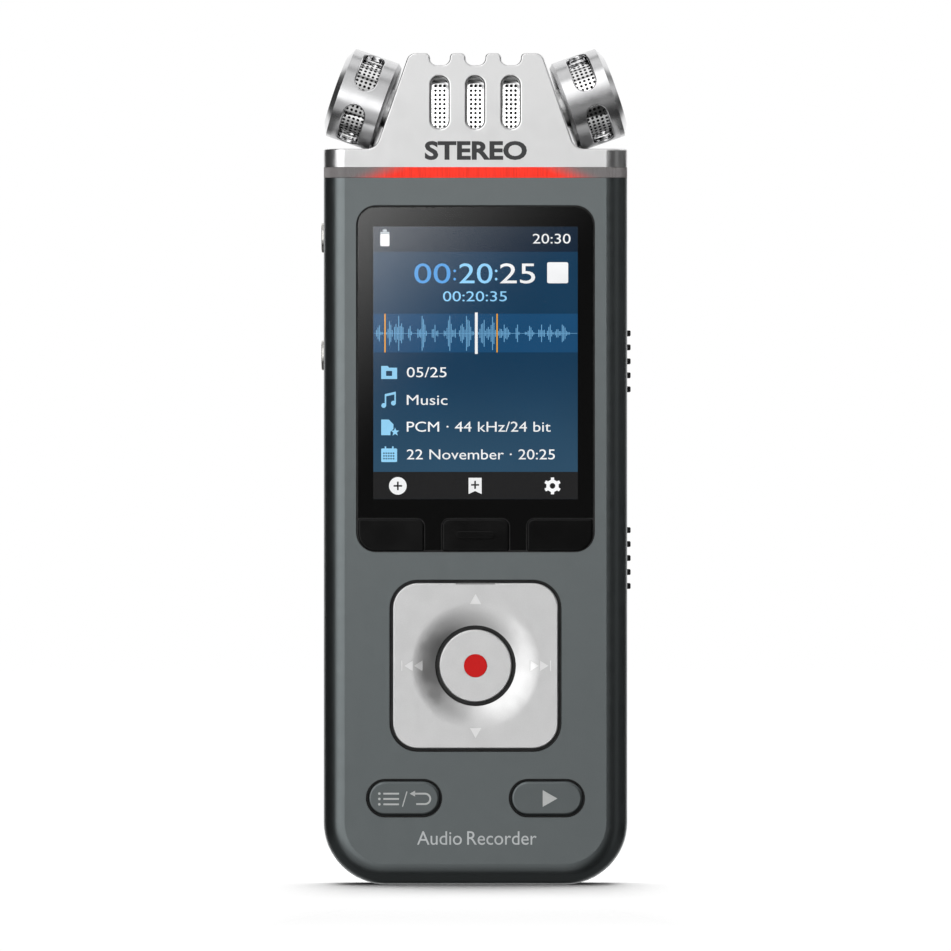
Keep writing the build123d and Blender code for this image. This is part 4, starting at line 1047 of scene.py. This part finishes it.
def pad_marks():
    """Bright floors of the arrows cut into the navigation pad, a little in from their walls."""
    bright = mark_silver()
    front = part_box("nav_pad")[0].y / MM
    half = MARK_HALF - MARK_INSET
    up = [(-half - 0.05, 9.26), (half + 0.05, 9.26), (0.0, 10.77)]
    down = [(half + 0.05, -9.31), (-half - 0.05, -9.31), (0.0, -10.82)]
    marks = [("mark_up", [up]), ("mark_down", [down])]
    for name, side, bar, outer, inner in (("mark_back", -1, 11.05, 10.74, 9.3),
                                          ("mark_forward", 1, 11.24, 10.98, 9.54)):
        middle = side * bar
        outlines = [box_outline(middle - 0.07, middle + 0.07, -half, half)]
        for apex in (outer - 2 * MARK_INSET, inner - 2 * MARK_INSET):
            base = apex - MARK_LENGTH + 3 * MARK_INSET
            outlines.append([(side * apex, 0.0), (side * base, half), (side * base, -half)])
        marks.append((name, outlines))
    for name, outlines in marks:
        piece = plate(name, outlines, bright, "nav", front, (0.0, PAD_Z))
        drape(piece, "nav_pad", front, MARK_PROUD)


def key_icons():
    """List, slash and return arrow on the left key; play triangle on the right one."""
    ink = print_ink("ink_icon", srgb(188, 190, 189), 0.9)
    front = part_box("menu_key")[0].y / MM - INK
    menu = []
    for z in (0.68, -0.11, -0.92):
        menu.append(circle(-3.7, z, 0.19, 16))
        menu.append(box_outline(-3.1, -0.76, z - 0.13, z + 0.13))
    menu.append(stroke([(0.44, 1.0), (-0.24, -1.28)], 0.16))
    angles = [math.pi * i / 12 for i in range(13)]
    bend = [(3.14 + 0.78 * math.sin(a), -0.1 + 0.78 * math.cos(a)) for a in angles]
    menu.append(stroke([(1.55, 0.68), *bend, (1.82, -0.88)], 0.27))
    menu.append([(0.84, 0.68), (1.65, 0.24), (1.65, 1.12)])
    plate("icon_menu", menu[:-1], ink, "menu", front, (-PILL[0], PILL[1]))
    plate("icon_menu_arrow", menu[-1:], ink, "menu", front, (-PILL[0], PILL[1]))
    play = [(-0.63, -1.3), (1.56, -0.05), (-0.63, 1.2)]
    plate("icon_play", [play], ink, "play", front, PILL)


# Materials on the CAD nodes

def dress_nodes():
    """Gives every CAD node the finish that its slot names."""
    makers = (
        case_paint, head_metal, ring_metal, mesh_metal, band_lens, window_clear, panel_black, lcd_face,
        backlight_white, tin_plate, key_silver, record_red, board_green, chip_black, dome_steel,
        film_amber, battery_foil, foam_grey, rubber_black, capsule_metal, socket_black, collar_steel,
        knob_black, brass, screw_steel, led_lens, speaker_cloth,
    )
    finishes = {maker.__name__: maker() for maker in makers}
    pills = pill_paint()
    own = {"window_mask": mask_black(), "menu_key": pills, "play_key": pills}
    for name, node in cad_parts.items():
        slot = node.data.materials[0].name
        node.data.materials.clear()
        node.data.materials.append(own.get(name, finishes[slot]))
    return finishes


# Studio

def studio_world():
    """Reflections of softboxes round the object; the camera itself sees plain white."""
    world = bpy.data.worlds.new("studio")
    world.use_nodes = True
    world.node_tree.nodes.clear()
    graph = Graph(world.node_tree)
    axes = graph.axes(graph.add("ShaderNodeTexCoord").outputs["Generated"])
    toward = graph.times(axes["Y"], -1.0)
    azimuth = graph.math("DEGREES", graph.math("ARCTAN2", axes["X"], toward))
    elevation = graph.math("DEGREES", graph.math("ARCSINE", axes["Z"]))
    boxes = [(azimuth, *box) for box in SOFTBOXES]
    a0, a1, e0, e1, soft, bright = BACKDROP
    boxes.append((graph.absolute(azimuth), (a0, a1 + soft), (e0, e1), soft, bright))
    level = AMBIENT
    for turned, (a0, a1), (e0, e1), soft, bright in boxes:
        shape = graph.times(graph.band(turned, a0, a1, soft), graph.band(elevation, e0, e1, soft))
        level = graph.math("ADD", level, graph.times(shape, bright))
    level = lens_card(graph, axes, azimuth, elevation, level)
    grey = graph.add("ShaderNodeCombineColor")
    for channel in grey.inputs:
        graph.plug(level, channel)
    seen = graph.add("ShaderNodeLightPath").outputs["Is Camera Ray"]
    background = graph.add("ShaderNodeBackground")
    graph.plug(graph.mix(seen, grey.outputs[0], (1.0, 1.0, 1.0, 1.0)), background.inputs["Color"])
    output = graph.add("ShaderNodeOutputWorld")
    graph.plug(background.outputs[0], output.inputs["Surface"])
    bpy.context.scene.world = world


def lens_card(graph, axes, azimuth, elevation, level):
    """The studio level with a dark card round the lens, lit at its upper left."""
    distance = LENS / SENSOR * VIEW_WIDTH
    start = CARD_CORNER[0] - (CARD_CORNER[1] - EYE_HEIGHT)
    slant = graph.times(graph.math("SUBTRACT", axes["X"], axes["Z"]), distance)
    share = graph.math("DIVIDE", graph.math("SUBTRACT", slant, start), CARD_FADE)
    left_over = graph.math("MAXIMUM", graph.without(share), 0.0)
    fall = graph.math("MINIMUM", graph.math("POWER", left_over, CARD_CURVE), CARD_CAP)
    light = graph.math("ADD", graph.times(fall, CARD_LEVEL), CARD_DARK)
    across = graph.band(azimuth, -CARD_HALF, CARD_HALF, 1.0)
    tall = graph.band(elevation, CARD_RISE - CARD_HALF, CARD_RISE + CARD_HALF, 1.0)
    inside = graph.times(across, tall)
    outside = graph.times(level, graph.without(inside))
    return graph.math("ADD", outside, graph.times(light, inside))


def top_light():
    """Soft light from above and behind that whitens the floor and leaves a shadow at the foot."""
    light = bpy.data.lights.new("top_light", "AREA")
    light.shape = "SQUARE"
    light.size = TOP_LIGHT_SIZE * MM
    light.energy = TOP_LIGHT_WATTS
    lamp = in_scene("top_light", light)
    lamp.location = Vector(TOP_LIGHT) * MM
    lamp.visible_glossy = False
    lamp.visible_camera = False


def floor():
    """Round white floor just under the base. Reflections leave it out, so the lower edges stay dark."""
    points = [(x, y, -FLOOR_DROP) for x, y in circle(0, 0, FLOOR_RADIUS, 96)]
    mesh = bpy.data.meshes.new("studio_floor")
    mesh.from_pydata([Vector(p) * MM for p in points], [], [tuple(range(len(points)))])
    disc = in_scene("studio_floor", mesh)
    mesh.materials.append(floor_white())
    disc.visible_glossy = False
    disc.visible_diffuse = False
    disc.visible_transmission = False


def camera(front_y):
    """Long lens, level with the middle of the object, looking along +Y."""
    data = bpy.data.cameras.new("camera")
    data.lens = LENS
    data.sensor_width = SENSOR
    data.clip_end = 100.0
    body = in_scene("camera", data)
    distance = LENS / SENSOR * VIEW_WIDTH * MM
    body.location = (0.0, front_y - distance, EYE_HEIGHT * MM)
    body.rotation_euler = (math.pi / 2, 0.0, 0.0)
    bpy.context.scene.camera = body


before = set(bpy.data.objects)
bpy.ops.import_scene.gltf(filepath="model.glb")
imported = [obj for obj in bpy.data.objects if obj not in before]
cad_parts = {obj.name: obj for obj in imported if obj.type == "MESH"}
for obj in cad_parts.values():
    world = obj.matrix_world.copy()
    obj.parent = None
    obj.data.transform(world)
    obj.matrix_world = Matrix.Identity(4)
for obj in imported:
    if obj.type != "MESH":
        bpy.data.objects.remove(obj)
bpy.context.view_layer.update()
bpy.context.scene.view_settings.view_transform = "Standard"
camera(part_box("front_cover")[0].y)
finishes = dress_nodes()
center_mesh(finishes["mesh_metal"])
for side, label in ((-1, "left"), (1, "right")):
    ring_mesh(side, label, finishes["mesh_metal"])
light_band(finishes["band_lens"])
display()
case_print()
pad_marks()
key_icons()
studio_world()
top_light()
floor()
